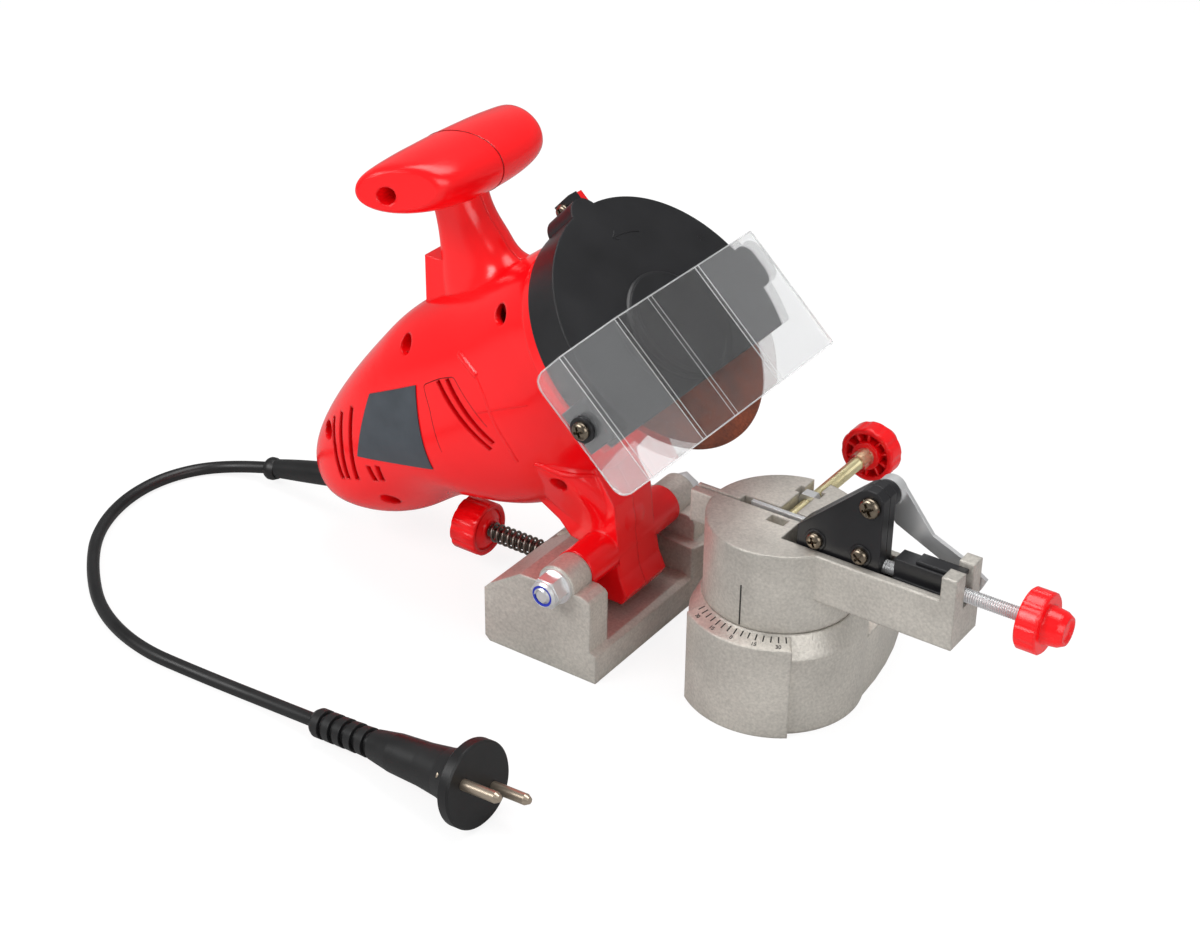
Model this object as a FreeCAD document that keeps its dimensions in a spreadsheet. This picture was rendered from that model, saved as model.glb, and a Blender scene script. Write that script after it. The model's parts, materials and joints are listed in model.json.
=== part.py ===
import FreeCAD, Part
import math
import os
import re
import Sketcher
from FreeCAD import Placement, Rotation, Vector

# Electric chainsaw sharpener, millimetres, +Z up.
# The origin is on the bench face, straight below the hinge bolt. +X runs from the hinge to the
# vise, +Y along the hinge bolt. The head is drawn in a frame of its own: its origin is the
# wheel's centre, its X the motor axis and its Z points up to the handle.

doc = FreeCAD.newDocument("ChainSharpener")
sheet = doc.addObject("Spreadsheet::Sheet", "Sizes")
SIZES = {}
NODES = []
ALONG_X = Vector(1, 0, 0)
ALONG_Y = Vector(0, 1, 0)
ALONG_Z = Vector(0, 0, 1)


def size(alias, value):
    row = len(SIZES) + 1
    sheet.set("A%d" % row, alias)
    sheet.set("B%d" % row, str(value))
    sheet.setAlias("B%d" % row, alias)
    SIZES[alias] = value
    return value


# Base casting
block_back = size("block_back", 39.0)
block_front = size("block_front", 20.7)
block_half_width = size("block_half_width", 48.0)
ear_thickness = size("ear_thickness", 13.5)
ear_front = size("ear_front", 17.5)
rear_wall = size("rear_wall", 26.4)
block_floor = size("block_floor", 15.0)
hump_height = size("hump_height", 42.0)
hinge_height = size("hinge_height", 43.5)
ear_boss_radius = size("ear_boss_radius", 9.2)
pedestal_distance = size("pedestal_distance", 82.5)
pedestal_radius = size("pedestal_radius", 38.5)
pedestal_wall = size("pedestal_wall", 4.5)
pedestal_height = size("pedestal_height", 47.0)
pedestal_shoulder = size("pedestal_shoulder", 37.0)
deck_thickness = size("deck_thickness", 8.0)
dial_radius = size("dial_radius", 41.7)
dial_edge_height = size("dial_edge_height", 43.9)
dial_half_angle = size("dial_half_angle", 38.0)
web_depth = size("web_depth", 74.0)
web_wall = size("web_wall", 5.0)
bench_hole_radius = size("bench_hole_radius", 4.25)
bench_hole_spacing = size("bench_hole_spacing", 50.0)
bench_boss_radius = size("bench_boss_radius", 9.8)

# Fasteners
hinge_radius = size("hinge_radius", 4.0)
running_gap = size("running_gap", 0.05)
hinge_hex = size("hinge_hex", 7.5)
hinge_nut_height = size("hinge_nut_height", 6.8)
hinge_bolt_end = size("hinge_bolt_end", 2.6)
hinge_head_height = size("hinge_head_height", 5.3)
washer_thickness = size("washer_thickness", 1.6)
hinge_washer_radius = size("hinge_washer_radius", 8.2)
small_screw_radius = size("small_screw_radius", 3.0)
small_nut_hex = size("small_nut_hex", 5.77)

# Knobs
knob_radius = size("knob_radius", 12.9)
knob_thickness = size("knob_thickness", 9.3)
knob_cap_radius = size("knob_cap_radius", 8.2)
knob_cap_length = size("knob_cap_length", 8.5)
knob_hub_radius = size("knob_hub_radius", 6.5)
knob_hub_length = size("knob_hub_length", 1.0)

# Depth stop
depth_height = size("depth_height", 20.5)
depth_reach = size("depth_reach", 39.7)
depth_tip_back = size("depth_tip_back", 3.2)
spring_radius = size("spring_radius", 4.7)
spring_wire = size("spring_wire", 0.65)
spring_turns = size("spring_turns", 10.0)

# Vise
drum_radius = size("drum_radius", 33.0)
vise_top = size("vise_top", 84.3)
spigot_radius = size("spigot_radius", 10.0)
chain_gap = size("chain_gap", 1.6)
arm_line = size("arm_line", -8.7)
arm_half_width = size("arm_half_width", 11.0)
arm_wall = size("arm_wall", 2.7)
arm_bottom = size("arm_bottom", 63.0)
arm_floor = size("arm_floor", 66.0)
arm_reach = size("arm_reach", 171.7)
arm_end_thickness = size("arm_end_thickness", 6.7)
post_height = size("post_height", 95.5)
channel_start = size("channel_start", 90.5)
clamp_height = size("clamp_height", 78.8)
clamp_reach = size("clamp_reach", 72.0)
jaw_thickness = size("jaw_thickness", 2.5)
adjust_height = size("adjust_height", 83.5)
bracket_left = size("bracket_left", 97.0)
bracket_thickness = size("bracket_thickness", 5.0)
pivot_distance = size("pivot_distance", 129.3)
pivot_height = size("pivot_height", 112.0)
pivot_round = size("pivot_round", 7.0)
lever_thickness = size("lever_thickness", 2.0)
nut_block_length = size("nut_block_length", 24.0)
nut_block_top = size("nut_block_top", 92.0)
adjust_knob_distance = size("adjust_knob_distance", 197.2)

# Head
rest_tilt = size("rest_tilt", 47.0)
switch_face = size("switch_face", -97.0)
switch_middle = size("switch_middle", 145.0)
wheel_across = size("wheel_across", 20.1)
wheel_height = size("wheel_height", 149.7)
wheel_radius = size("wheel_radius", 52.5)
wheel_thickness = size("wheel_thickness", 3.2)
wheel_bore = size("wheel_bore", 11.1)
guard_radius = size("guard_radius", 61.2)
guard_wall = size("guard_wall", 2.4)
guard_back = size("guard_back", 8.5)
guard_front = size("guard_front", 9.2)
guard_drop = size("guard_drop", 25.4)
housing_wall = size("housing_wall", 3.0)
flange_thickness = size("flange_thickness", 7.0)
leg_half_width = size("leg_half_width", 13.5)
foot_half_width = size("foot_half_width", 15.6)
barrel_radius = size("barrel_radius", 9.6)
motor_radius = size("motor_radius", 25.0)
shaft_radius = size("shaft_radius", 5.0)
shield_thickness = size("shield_thickness", 1.6)
handle_half_length = size("handle_half_length", 43.0)
handle_slant = size("handle_slant", 0.42)
cord_radius = size("cord_radius", 3.0)
sleeve_radius = size("sleeve_radius", 5.9)
plug_flange_radius = size("plug_flange_radius", 18.5)
plug_pin_radius = size("plug_pin_radius", 2.4)
plug_pin_length = size("plug_pin_length", 19.0)
plug_pin_spacing = size("plug_pin_spacing", 19.0)

doc.recompute()


def bind(thing, **formulas):
    for prop, formula in formulas.items():
        words = re.sub(r"[a-z][a-z_]+", lambda w: "Sizes." + w.group() if w.group() in SIZES else w.group(), formula)
        thing.setExpression(prop, words)
    return thing


def cylinder(name, radius, length, start, axis=ALONG_Z):
    thing = doc.addObject("Part::Cylinder", name)
    bind(thing, Radius=radius, Height=length)
    thing.Placement = Placement(start, Rotation(ALONG_Z, axis))
    return thing


def cone(name, radius_one, radius_two, length, start, axis=ALONG_Z):
    thing = doc.addObject("Part::Cone", name)
    bind(thing, Radius1=radius_one, Radius2=radius_two, Height=length)
    thing.Placement = Placement(start, Rotation(ALONG_Z, axis))
    return thing


def hexagon(name, corner_radius, length, start, axis=ALONG_Z):
    thing = doc.addObject("Part::Prism", name)
    thing.Polygon = 6
    bind(thing, Circumradius=corner_radius, Height=length)
    thing.Placement = Placement(start, Rotation(ALONG_Z, axis))
    return thing


def box(name, length, width, height, corner, turn=Rotation()):
    thing = doc.addObject("Part::Box", name)
    bind(thing, Length=length, Width=width, Height=height)
    thing.Placement = Placement(corner, turn)
    return thing


def fuse(name, pieces):
    thing = doc.addObject("Part::MultiFuse", name)
    thing.Shapes = pieces
    thing.Refine = False
    return thing


def cut(name, base, tools):
    tool = tools[0] if len(tools) == 1 else fuse(name + "_tools", tools)
    thing = doc.addObject("Part::Cut", name)
    thing.Base = base
    thing.Tool = tool
    return thing


def shaped(name, shape):
    thing = doc.addObject("Part::Feature", name)
    thing.Shape = shape
    return thing


def origin_plane(body, role):
    return [plane for plane in body.Origin.OriginFeatures if plane.Role == role][0]


def outline_sketch(body, name, points, role="XZ_Plane"):
    sketch = body.newObject("Sketcher::SketchObject", name)
    sketch.AttachmentSupport = (origin_plane(body, role), "")
    sketch.MapMode = "FlatFace"
    count = len(points)
    for index in range(count):
        first = Vector(points[index][0], points[index][1], 0)
        second = Vector(points[(index + 1) % count][0], points[(index + 1) % count][1], 0)
        sketch.addGeometry(Part.LineSegment(first, second), False)
    for index in range(count):
        sketch.addConstraint(Sketcher.Constraint("Coincident", index, 2, (index + 1) % count, 1))
    return sketch


# A flat piece: its outline stands in the XZ plane and it spans thickness along Y from start.
def plate(name, points, thickness, start, holes=()):
    body = doc.addObject("PartDesign::Body", name)
    sketch = outline_sketch(body, name + "_outline", points)
    pad = body.newObject("PartDesign::Pad", name + "_pad")
    pad.Profile = sketch
    bind(pad, Length=thickness)
    pad.Reversed = True
    doc.recompute()
    for index, (across, up, formula) in enumerate(holes):
        circle = body.newObject("Sketcher::SketchObject", "%s_hole%d" % (name, index))
        circle.AttachmentSupport = (origin_plane(body, "XZ_Plane"), "")
        circle.MapMode = "FlatFace"
        circle.addGeometry(Part.Circle(Vector(across, up, 0), ALONG_Z, 1.0), False)
        circle.addConstraint(Sketcher.Constraint("Radius", 0, 1.0))
        bind(circle, **{"Constraints[0]": formula})
        pocket = body.newObject("PartDesign::Pocket", "%s_pocket%d" % (name, index))
        pocket.Profile = circle
        pocket.Type = "ThroughAll"
        pocket.Midplane = True
    body.Placement = Placement(Vector(0, start, 0), Rotation())
    return body


# A round piece: half its section, as distance from the axis and place along it.
def lathe(name, section, start, axis=ALONG_Z):
    body = doc.addObject("PartDesign::Body", name)
    sketch = outline_sketch(body, name + "_section", section)
    turned = body.newObject("PartDesign::Revolution", name + "_turned")
    turned.Profile = sketch
    turned.ReferenceAxis = (sketch, ["V_Axis"])
    turned.Angle = 360.0
    body.Placement = Placement(start, Rotation(ALONG_Z, axis))
    return body


def node(thing, label):
    thing.Label = label
    NODES.append(thing)
    return thing


def smooth_section(centre, half_across, half_up, squareness, across, up, lower=None, count=20):
    points = []
    for index in range(count):
        angle = 2 * math.pi * index / count
        cosine = math.cos(angle)
        sine = math.sin(angle)
        power = 2 / (lower if lower and sine < 0 else squareness)
        side = math.copysign(abs(cosine) ** power, cosine) * half_across
        rise = math.copysign(abs(sine) ** power, sine) * half_up
        points.append(centre + across * side + up * rise)
    curve = Part.BSplineCurve()
    curve.interpolate(points, PeriodicFlag=True)
    return Part.Wire([curve.toShape()])


# A slab: its outline lies in the XY plane and it stands height tall from start.
def slab(name, points, height, start):
    body = doc.addObject("PartDesign::Body", name)
    sketch = outline_sketch(body, name + "_outline", points, "XY_Plane")
    pad = body.newObject("PartDesign::Pad", name + "_pad")
    pad.Profile = sketch
    bind(pad, Length=height)
    body.Placement = Placement(Vector(0, 0, start), Rotation())
    return body


# A lobed knob on a screw: a hub, a scalloped rim and a cap, from the rim's inner face outwards.
def knob(name, start, axis):
    rim = knob_radius
    section = [(0, 8), (small_screw_radius, 8), (small_screw_radius, -knob_hub_length),
               (knob_hub_radius, -knob_hub_length), (knob_hub_radius, 5), (rim - 2.6, 5), (rim - 2.6, 0),
               (rim - 0.8, 0), (rim, 0.8), (rim, knob_thickness - 0.8), (rim - 0.8, knob_thickness),
               (knob_cap_radius, knob_thickness), (knob_cap_radius - 0.8, knob_thickness + 0.7 * knob_cap_length),
               (knob_cap_radius - 2.2, knob_thickness + knob_cap_length),
               (knob_cap_radius - 3.4, knob_thickness + knob_cap_length),
               (knob_cap_radius - 4.2, knob_thickness + knob_cap_length - 0.8),
               (0, knob_thickness + knob_cap_length - 0.8)]
    body = lathe(name, section, start, axis)
    doc.recompute()
    scallop = body.newObject("Sketcher::SketchObject", name + "_scallop")
    scallop.AttachmentSupport = (origin_plane(body, "XY_Plane"), "")
    scallop.MapMode = "FlatFace"
    scallop.addGeometry(Part.Circle(Vector(rim + 2.9, 0, 0), ALONG_Z, 3.4), False)
    pocket = body.newObject("PartDesign::Pocket", name + "_pocket")
    pocket.Profile = scallop
    pocket.Reversed = True
    bind(pocket, Length="knob_thickness")
    pattern = body.newObject("PartDesign::PolarPattern", name + "_pattern")
    pattern.Originals = [pocket]
    pattern.Axis = (scallop, ["N_Axis"])
    pattern.Angle = 360.0
    pattern.Occurrences = 10
    body.Tip = pattern
    return body


# Base casting: the block with its two ears, the round pedestal and the bolting web behind them.
block_outline = [(-block_back, 2.5), (-36.5, 0), (block_front, 0), (block_front, 13.5), (ear_front, 15.2),
                 (ear_front, 39), (16.4, 40.6), (13, hump_height), (-11, hump_height), (-19.8, 41.6),
                 (-36.1, 30.8), (-block_back, 27.7)]
block = plate("block", block_outline, "2*block_half_width", -block_half_width)
cavity_half = block_half_width - ear_thickness
cavity = box("block_cavity", "rear_wall+block_front", "2*(block_half_width-ear_thickness)", "hump_height",
             Vector(-block_back + rear_wall, -cavity_half, block_floor))
boss_left = cylinder("ear_boss_left", "ear_boss_radius", "ear_thickness",
                     Vector(0, -block_half_width, hinge_height), ALONG_Y)
boss_right = cylinder("ear_boss_right", "ear_boss_radius", "ear_thickness",
                      Vector(0, cavity_half, hinge_height), ALONG_Y)
yoke = cut("yoke", block, [cavity])
pedestal_section = [(10.0 + running_gap, pedestal_height - deck_thickness),
                    (pedestal_radius - pedestal_wall, pedestal_height - deck_thickness),
                    (pedestal_radius - pedestal_wall, 0), (pedestal_radius, 0),
                    (pedestal_radius, pedestal_shoulder), (drum_radius + 0.8, pedestal_height),
                    (10.0 + running_gap, pedestal_height)]
pedestal_place = Vector(pedestal_distance, 0, 0)
pedestal = lathe("pedestal", pedestal_section, pedestal_place)
dial_start = Rotation(ALONG_Z, -90 - dial_half_angle)
dial_wall = cylinder("dial_wall", "dial_radius", "dial_edge_height", pedestal_place)
bind(dial_wall, Angle="2*dial_half_angle")
dial_wall.Placement = Placement(pedestal_place, dial_start)
dial_bevel = cone("dial_bevel", "dial_radius", "drum_radius", "pedestal_height-dial_edge_height", pedestal_place)
bind(dial_bevel, Angle="2*dial_half_angle")
dial_bevel.Placement = Placement(pedestal_place + Vector(0, 0, dial_edge_height), dial_start)
dial_core = cylinder("dial_core", "drum_radius+1.2", "pedestal_height+2", pedestal_place)
dial = cut("dial", fuse("dial_solid", [dial_wall, dial_bevel]), [dial_core])
web_outline = [(-4, 30), (block_front, 28), (23, 34), (28, 39.5), (36, 42), (46, 40.5), (54, 35), (64, 26),
               (100, 12), (119, 12), (118, 25.5), (116, 39), (113, 52), (109.5, 63), (103, 71),
               (94, web_depth), (10, web_depth), (0, 67), (-4, 56)]
web = slab("web", web_outline, "pedestal_shoulder-7", 0)
hollow_outline = [(2, 50), (27, 50), (30, 45.5), (37, 47.5), (49, 46), (59, 40), (70, 30), (100, 20), (113, 26),
                  (111, 39), (108, 51), (105, 60), (100, 66), (93, 69), (11, 69), (4, 64)]
web_hollow = slab("web_hollow", hollow_outline, "pedestal_shoulder-7-web_wall", 0)
web_shell = cut("web_shell", web, [web_hollow])
bench_holes = []
bench_bosses = []
for index, across in enumerate((35.0, 35.0 + bench_hole_spacing)):
    place = Vector(across, web_depth - 14, 0)
    bench_bosses.append(cylinder("bench_boss%d" % index, "bench_boss_radius", "pedestal_shoulder-7", place))
    bench_holes.append(cylinder("bench_hole%d" % index, "bench_hole_radius", "pedestal_height", place))
pedestal_well = cylinder("pedestal_well", "pedestal_radius-pedestal_wall", "pedestal_height-deck_thickness",
                         pedestal_place)
casting = fuse("casting", [cut("web_open", web_shell, [pedestal_well]), yoke, boss_left, boss_right,
                           pedestal, dial] + bench_bosses)
hinge_bore = cylinder("hinge_bore", "hinge_radius+running_gap", "2*block_half_width+2",
                      Vector(0, -block_half_width - 1, hinge_height), ALONG_Y)
depth_bore = cylinder("depth_bore", "small_screw_radius+running_gap", "rear_wall+4",
                      Vector(-block_back - 2, 0, depth_height), ALONG_X)
top_slot = box("top_slot", "rear_wall+4", "8", "hump_height", Vector(-block_back - 2, -4, 29))
spigot_bore = cylinder("spigot_bore", "spigot_radius+running_gap", "deck_thickness+4",
                       pedestal_place + Vector(0, 0, pedestal_height - deck_thickness - 2))
base = cut("base", casting, [hinge_bore, depth_bore, top_slot, spigot_bore] + bench_holes)
node(base, "base_casting")

# Hinge: a long bolt with a washer at each end and a nylon-ring lock nut at the near end.
washer_end = block_half_width + washer_thickness
bolt_shank = cylinder("hinge_shank", "hinge_radius", "2*block_half_width+2*washer_thickness+hinge_nut_height+hinge_bolt_end",
                      Vector(0, -washer_end - hinge_nut_height - hinge_bolt_end, hinge_height), ALONG_Y)
bolt_head = hexagon("hinge_head", "hinge_hex", "hinge_head_height", Vector(0, washer_end, hinge_height), ALONG_Y)
node(fuse("hinge_bolt_solid", [bolt_shank, bolt_head]), "hinge_bolt")
washer_section = [(hinge_radius, 0), (hinge_washer_radius, 0), (hinge_washer_radius, washer_thickness),
                  (hinge_radius, washer_thickness)]
near_washer = lathe("near_washer", washer_section, Vector(0, -washer_end, hinge_height), ALONG_Y)
far_washer = lathe("far_washer", washer_section, Vector(0, block_half_width, hinge_height), ALONG_Y)
washers = doc.addObject("Part::Compound", "washers")
washers.Links = [near_washer, far_washer]
node(washers, "hinge_washers")
nut_base = hexagon("nut_base", "hinge_hex", "hinge_nut_height", Vector(0, -washer_end, hinge_height),
                   Vector(0, -1, 0))
nut_collar_section = [(hinge_radius + 0.1, 0), (hinge_hex - 1.4, 0), (hinge_hex - 1.4, 1.2),
                      (hinge_hex - 2.4, 2.2), (hinge_radius + 1.0, 2.2), (hinge_radius + 1.0, 0.4),
                      (hinge_radius + 0.1, 0.4)]
nut_collar = lathe("nut_collar", nut_collar_section,
                   Vector(0, -washer_end - hinge_nut_height, hinge_height), Vector(0, -1, 0))
nut_drill = cylinder("nut_drill", "hinge_radius", "hinge_nut_height+4",
                     Vector(0, -washer_end + 1, hinge_height), Vector(0, -1, 0))
node(cut("hinge_nut_solid", fuse("nut_solid", [nut_base, nut_collar]), [nut_drill]), "hinge_nut")
ring_section = [(hinge_radius, 0), (hinge_radius + 1.0, 0), (hinge_radius + 1.0, 1.6), (hinge_radius, 1.6)]
node(lathe("nut_ring", ring_section, Vector(0, -washer_end - hinge_nut_height - 0.4, hinge_height),
           Vector(0, -1, 0)), "hinge_nut_ring")

# Depth stop: a screw through the rear wall that meets the back of the foot.
depth_knob_face = -block_back - depth_reach + 6
depth_screw = cylinder("depth_rod", "small_screw_radius", "rear_wall-depth_tip_back+depth_reach-6+8",
                       Vector(depth_knob_face - 8, 0, depth_height), ALONG_X)
node(depth_screw, "depth_screw")
node(knob("depth_grip", Vector(depth_knob_face, 0, depth_height), Vector(-1, 0, 0)), "depth_knob")
spring_start = depth_knob_face + knob_hub_length + 0.05
spring_length = -block_back - spring_start - 0.05
coil = Part.makeHelix((spring_length - 2 * spring_wire) / spring_turns, spring_length - 2 * spring_wire,
                      spring_radius - spring_wire)
coil_edge = coil.Edges[0]
coil_start = coil_edge.valueAt(coil_edge.FirstParameter)
coil_along = coil_edge.tangentAt(coil_edge.FirstParameter)
coil_section = Part.Wire([Part.Circle(coil_start, coil_along, spring_wire).toShape()])
spring = shaped("spring", Part.Wire([coil_edge]).makePipeShell([coil_section], True, True))
spring.Placement = Placement(Vector(spring_start + spring_wire, 0, depth_height), Rotation(ALONG_Z, ALONG_X))
node(spring, "depth_spring")

# Vise casting: the drum, the hollow arm with its end posts and the slots in its top.
arm_near = arm_line - arm_half_width
arm_far = arm_line + arm_half_width
drum = cylinder("drum", "drum_radius", "vise_top-pedestal_height-0.3",
                Vector(pedestal_distance, 0, pedestal_height + 0.3))
spigot = cylinder("spigot", "spigot_radius", "deck_thickness+1",
                  Vector(pedestal_distance, 0, pedestal_height - deck_thickness + 0.5))
rail_end = box("rail_end", "16", "7.5", "15", Vector(39.5, -5, vise_top - 15))
arm_box = box("arm_box", "arm_reach-pedestal_distance", "2*arm_half_width", "vise_top-arm_bottom",
              Vector(pedestal_distance, arm_near, arm_bottom))
posts = box("posts", "arm_end_thickness", "2*arm_half_width", "post_height-arm_bottom",
            Vector(arm_reach - arm_end_thickness, arm_near, arm_bottom))
channel_near = arm_near + 3.6
channel_far = arm_far - 3.4
channel_end = arm_reach - arm_end_thickness
channel_outline = [(channel_start, channel_near), (channel_end, channel_near), (channel_end, channel_far),
                   (channel_start, channel_far)]
channel = slab("channel", channel_outline, "vise_top", arm_floor)
post_slot = box("post_slot", "arm_end_thickness+4", "7.3", "post_height",
                Vector(channel_end - 2, arm_line - 3.65 + 0.3, adjust_height - 4.2))
chain_slot = box("chain_slot", "60", "chain_gap", "vise_top", Vector(38, -chain_gap / 2, 77))
jaw_recess = box("jaw_recess", "32", "chain_gap+4", "vise_top", Vector(60.5, -chain_gap / 2, 75.4))
tongue_slot = box("tongue_slot", "8", "2.6", "vise_top", Vector(91, 0.1, 83.1))
rod_groove = box("rod_groove", "7.8", "drum_radius", "vise_top", Vector(78, 4, clamp_height - 3.6))
nut_pocket = box("nut_pocket", "11.9", "5.3", "vise_top", Vector(75.95, 19.8, clamp_height - 5.9))
oil_pocket = box("oil_pocket", "8.5", "5.2", "vise_top", Vector(78, -7.6, 79.4))
stud_bore = cylinder("stud_bore", "hinge_radius", "30", Vector(pedestal_distance, 0, 35))
vise = cut("vise", fuse("vise_solid", [drum, spigot, rail_end, arm_box, posts]),
           [channel, post_slot, chain_slot, jaw_recess, tongue_slot, rod_groove, nut_pocket, oil_pocket, stud_bore])
node(vise, "vise_casting")

# Swivel lock under the pedestal's deck.
deck_under = pedestal_height - deck_thickness
node(cylinder("swivel_rod", "hinge_radius", "48.5", Vector(pedestal_distance, 0, 15.5)), "swivel_stud")
swivel_washer_section = [(hinge_radius + 0.2, 0), (13.5, 0), (13.5, washer_thickness),
                         (hinge_radius + 0.2, washer_thickness)]
node(lathe("swivel_ring", swivel_washer_section,
           Vector(pedestal_distance, 0, deck_under - washer_thickness - 0.05)), "swivel_washer")
grip_section = [(0, 22), (hinge_radius, 22), (hinge_radius, 0), (9, 0), (9, 4), (16, 6), (17, 8), (17, 20),
                (16, 22), (10, 24), (9, 27), (0, 27)]
node(lathe("swivel_grip", grip_section,
           Vector(pedestal_distance, 0, deck_under - washer_thickness - 0.1), Vector(0, 0, -1)), "swivel_knob")

# Chain clamp: a jaw plate pushed along Y by a screw in a captive nut.
clamp_across = 81.9
jaw_front = chain_gap / 2
node(box("jaw_bar", "24", "jaw_thickness", "7", Vector(67, jaw_front, 75.8)), "jaw_plate")
rod_tip = size("rod_tip", 3.32)
clamp_knob_face = clamp_reach
node(cylinder("clamp_rod", "small_screw_radius", "clamp_reach-rod_tip+8",
              Vector(clamp_across, rod_tip, clamp_height), ALONG_Y), "clamp_screw")
clamp_nut = cut("clamp_nut_solid", hexagon("clamp_hex", "small_nut_hex", "4.8",
                                           Vector(clamp_across, 20.05, clamp_height), ALONG_Y),
                [cylinder("clamp_tap", "small_screw_radius+running_gap", "8",
                          Vector(clamp_across, 18, clamp_height), ALONG_Y)])
node(clamp_nut, "clamp_nut")
sleeve_section = [(small_screw_radius, 0), (4.4, 0), (4.4, 8), (small_screw_radius, 8)]
node(lathe("sleeve", sleeve_section, Vector(clamp_across, clamp_knob_face - knob_hub_length - 8.05, clamp_height),
           ALONG_Y), "clamp_sleeve")
node(knob("clamp_grip", Vector(clamp_across, clamp_knob_face, clamp_height), ALONG_Y), "clamp_knob")

# Chain stop: two bracket halves on a screw, with a folding stop lever behind them.
bracket_outline = [(bracket_left, 67), (bracket_left, 92.5), (pivot_distance - 4.6, pivot_height + 6),
                   (pivot_distance - 2, pivot_height + 7.4), (pivot_distance + 2.4, pivot_height + 7.2),
                   (pivot_distance + 5.7, pivot_height + 4), (pivot_distance + 5.7, 67)]
screw_spots = [(105.7, 88.4), (126.5, 88.6)]
bracket_front_start = -14.7
bracket_back_start = bracket_front_start + bracket_thickness + 0.3
screw_holes = [(across, up, "1.8") for across, up in screw_spots]
pivot_hole = [(pivot_distance, pivot_height, "2.5")]
front_half = plate("front_half", bracket_outline, "bracket_thickness", bracket_front_start,
                   screw_holes + pivot_hole)
back_half = plate("back_half", bracket_outline, "bracket_thickness", bracket_back_start,
                  screw_holes + pivot_hole)
bracket_back_end = bracket_back_start + bracket_thickness
back_foot = box("back_foot", "38", "2.6", "13", Vector(bracket_left, bracket_back_end - 0.01, 67))
screw_pocket = cylinder("screw_pocket", "small_screw_radius+0.35", "14",
                        Vector(pivot_distance + 1, arm_line, adjust_height), ALONG_X)
collar_pocket = cylinder("collar_pocket", "4.9", "3.2",
                         Vector(pivot_distance + 0.4, arm_line, adjust_height), ALONG_X)
pocket_pair = fuse("pocket_pair", [screw_pocket, collar_pocket])
node(cut("bracket_front_solid", front_half, [pocket_pair]), "bracket_front")
node(cut("bracket_back_solid", fuse("back_solid", [back_half, back_foot]), [pocket_pair]), "bracket_back")
screws = []
pan_section = [(0, -9.8), (1.8, -9.8), (1.8, 0), (3.7, 0), (3.7, 1.2), (2.9, 2.1), (1.5, 2.5), (0, 2.5)]
for index, (across, up) in enumerate(screw_spots):
    screws.append(lathe("bracket_screw%d" % index, pan_section, Vector(across, bracket_front_start, up),
                        Vector(0, -1, 0)))
bracket_screws = doc.addObject("Part::Compound", "bracket_screw_pair")
bracket_screws.Links = screws
node(bracket_screws, "bracket_screws")
lever_start = 0.4
lever_end = 4.9
pivot_depth = lever_end + 1.6 - bracket_front_start
pivot_section = [(0, -pivot_depth), (2.5, -pivot_depth), (2.5, 0), (4.6, 0), (4.6, 1.2), (3.6, 2.3),
                 (2.0, 2.7), (0, 2.7)]
node(lathe("pivot_pin", pivot_section, Vector(pivot_distance, bracket_front_start, pivot_height),
           Vector(0, -1, 0)), "pivot_screw")
bush_section = [(2.5 + running_gap, 0), (5.6, 0), (5.6, lever_start - bracket_back_end - 0.25),
                (2.5 + running_gap, lever_start - bracket_back_end - 0.25)]
node(lathe("bush", bush_section, Vector(pivot_distance, bracket_back_end + 0.05, pivot_height), ALONG_Y),
     "pivot_bush")
tongue_outline = [(66, 83.4), (92, 83.4), (92, 84.7), (112, 84.7), (pivot_distance + 5, pivot_height - 4),
                  (pivot_distance + 6, pivot_height), (pivot_distance, pivot_height + 6),
                  (pivot_distance - 5, pivot_height + 3.4), (98, 88.5), (92, 85.3), (66, 85.3)]
tongue = plate("tongue", tongue_outline, "lever_thickness", lever_start)
tail_outline = [(pivot_distance - 2, pivot_height + 5.5), (pivot_distance + 4, pivot_height + 4.4),
                (149, 97), (165, 90.3), (174, 84.6), (171.6, 79.2), (148.7, 89.5), (132.2, 97),
                (pivot_distance - 4, pivot_height - 4)]
tail_start = lever_end - lever_thickness
tail = plate("tail", tail_outline, "lever_thickness", tail_start)
lever_boss = cylinder("lever_boss", "6", "4.7", Vector(pivot_distance, lever_start - 0.1, pivot_height), ALONG_Y)
lever_bore = cylinder("lever_bore", "2.5+running_gap", "8", Vector(pivot_distance, -1, pivot_height), ALONG_Y)
node(cut("lever", fuse("lever_solid", [tongue, tail, lever_boss]), [lever_bore]), "stop_lever")
clip_section = [(2.5, 0), (5, 0), (5, 1), (2.5, 1)]
node(lathe("clip", clip_section, Vector(pivot_distance, lever_end + 0.2, pivot_height), ALONG_Y), "pivot_clip")

# Stop adjusting screw in its fixed nut block.
block_start = channel_end - 0.2 - nut_block_length
nut_low = box("nut_low", "nut_block_length", "14.4", "16.6", Vector(block_start, channel_near + 0.2, arm_floor + 0.2))
nut_high = box("nut_high", "nut_block_length", "8.4", "nut_block_top-arm_floor-1",
               Vector(block_start, arm_line - 4.2, arm_floor + 0.5))
nut_tap = cylinder("nut_tap", "small_screw_radius+running_gap", "40", Vector(block_start - 5, arm_line, adjust_height),
                   ALONG_X)
node(cut("nut_block_solid", fuse("nut_block_raw", [nut_low, nut_high]), [nut_tap]), "nut_block")
cover = box("cover", "20", "6.7", "1.6", Vector(block_start + 8.8, arm_line - 3.05, nut_block_top - 0.4))
node(cover, "nut_block_cover")
adjust_tip = pivot_distance + 0.5
adjust_section = [(0, 0), (4.5, 0), (4.5, 3), (small_screw_radius, 3),
                  (small_screw_radius, adjust_knob_distance + 8 - adjust_tip),
                  (0, adjust_knob_distance + 8 - adjust_tip)]
node(lathe("adjust_rod", adjust_section, Vector(adjust_tip, arm_line, adjust_height), ALONG_X), "adjust_screw")
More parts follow.
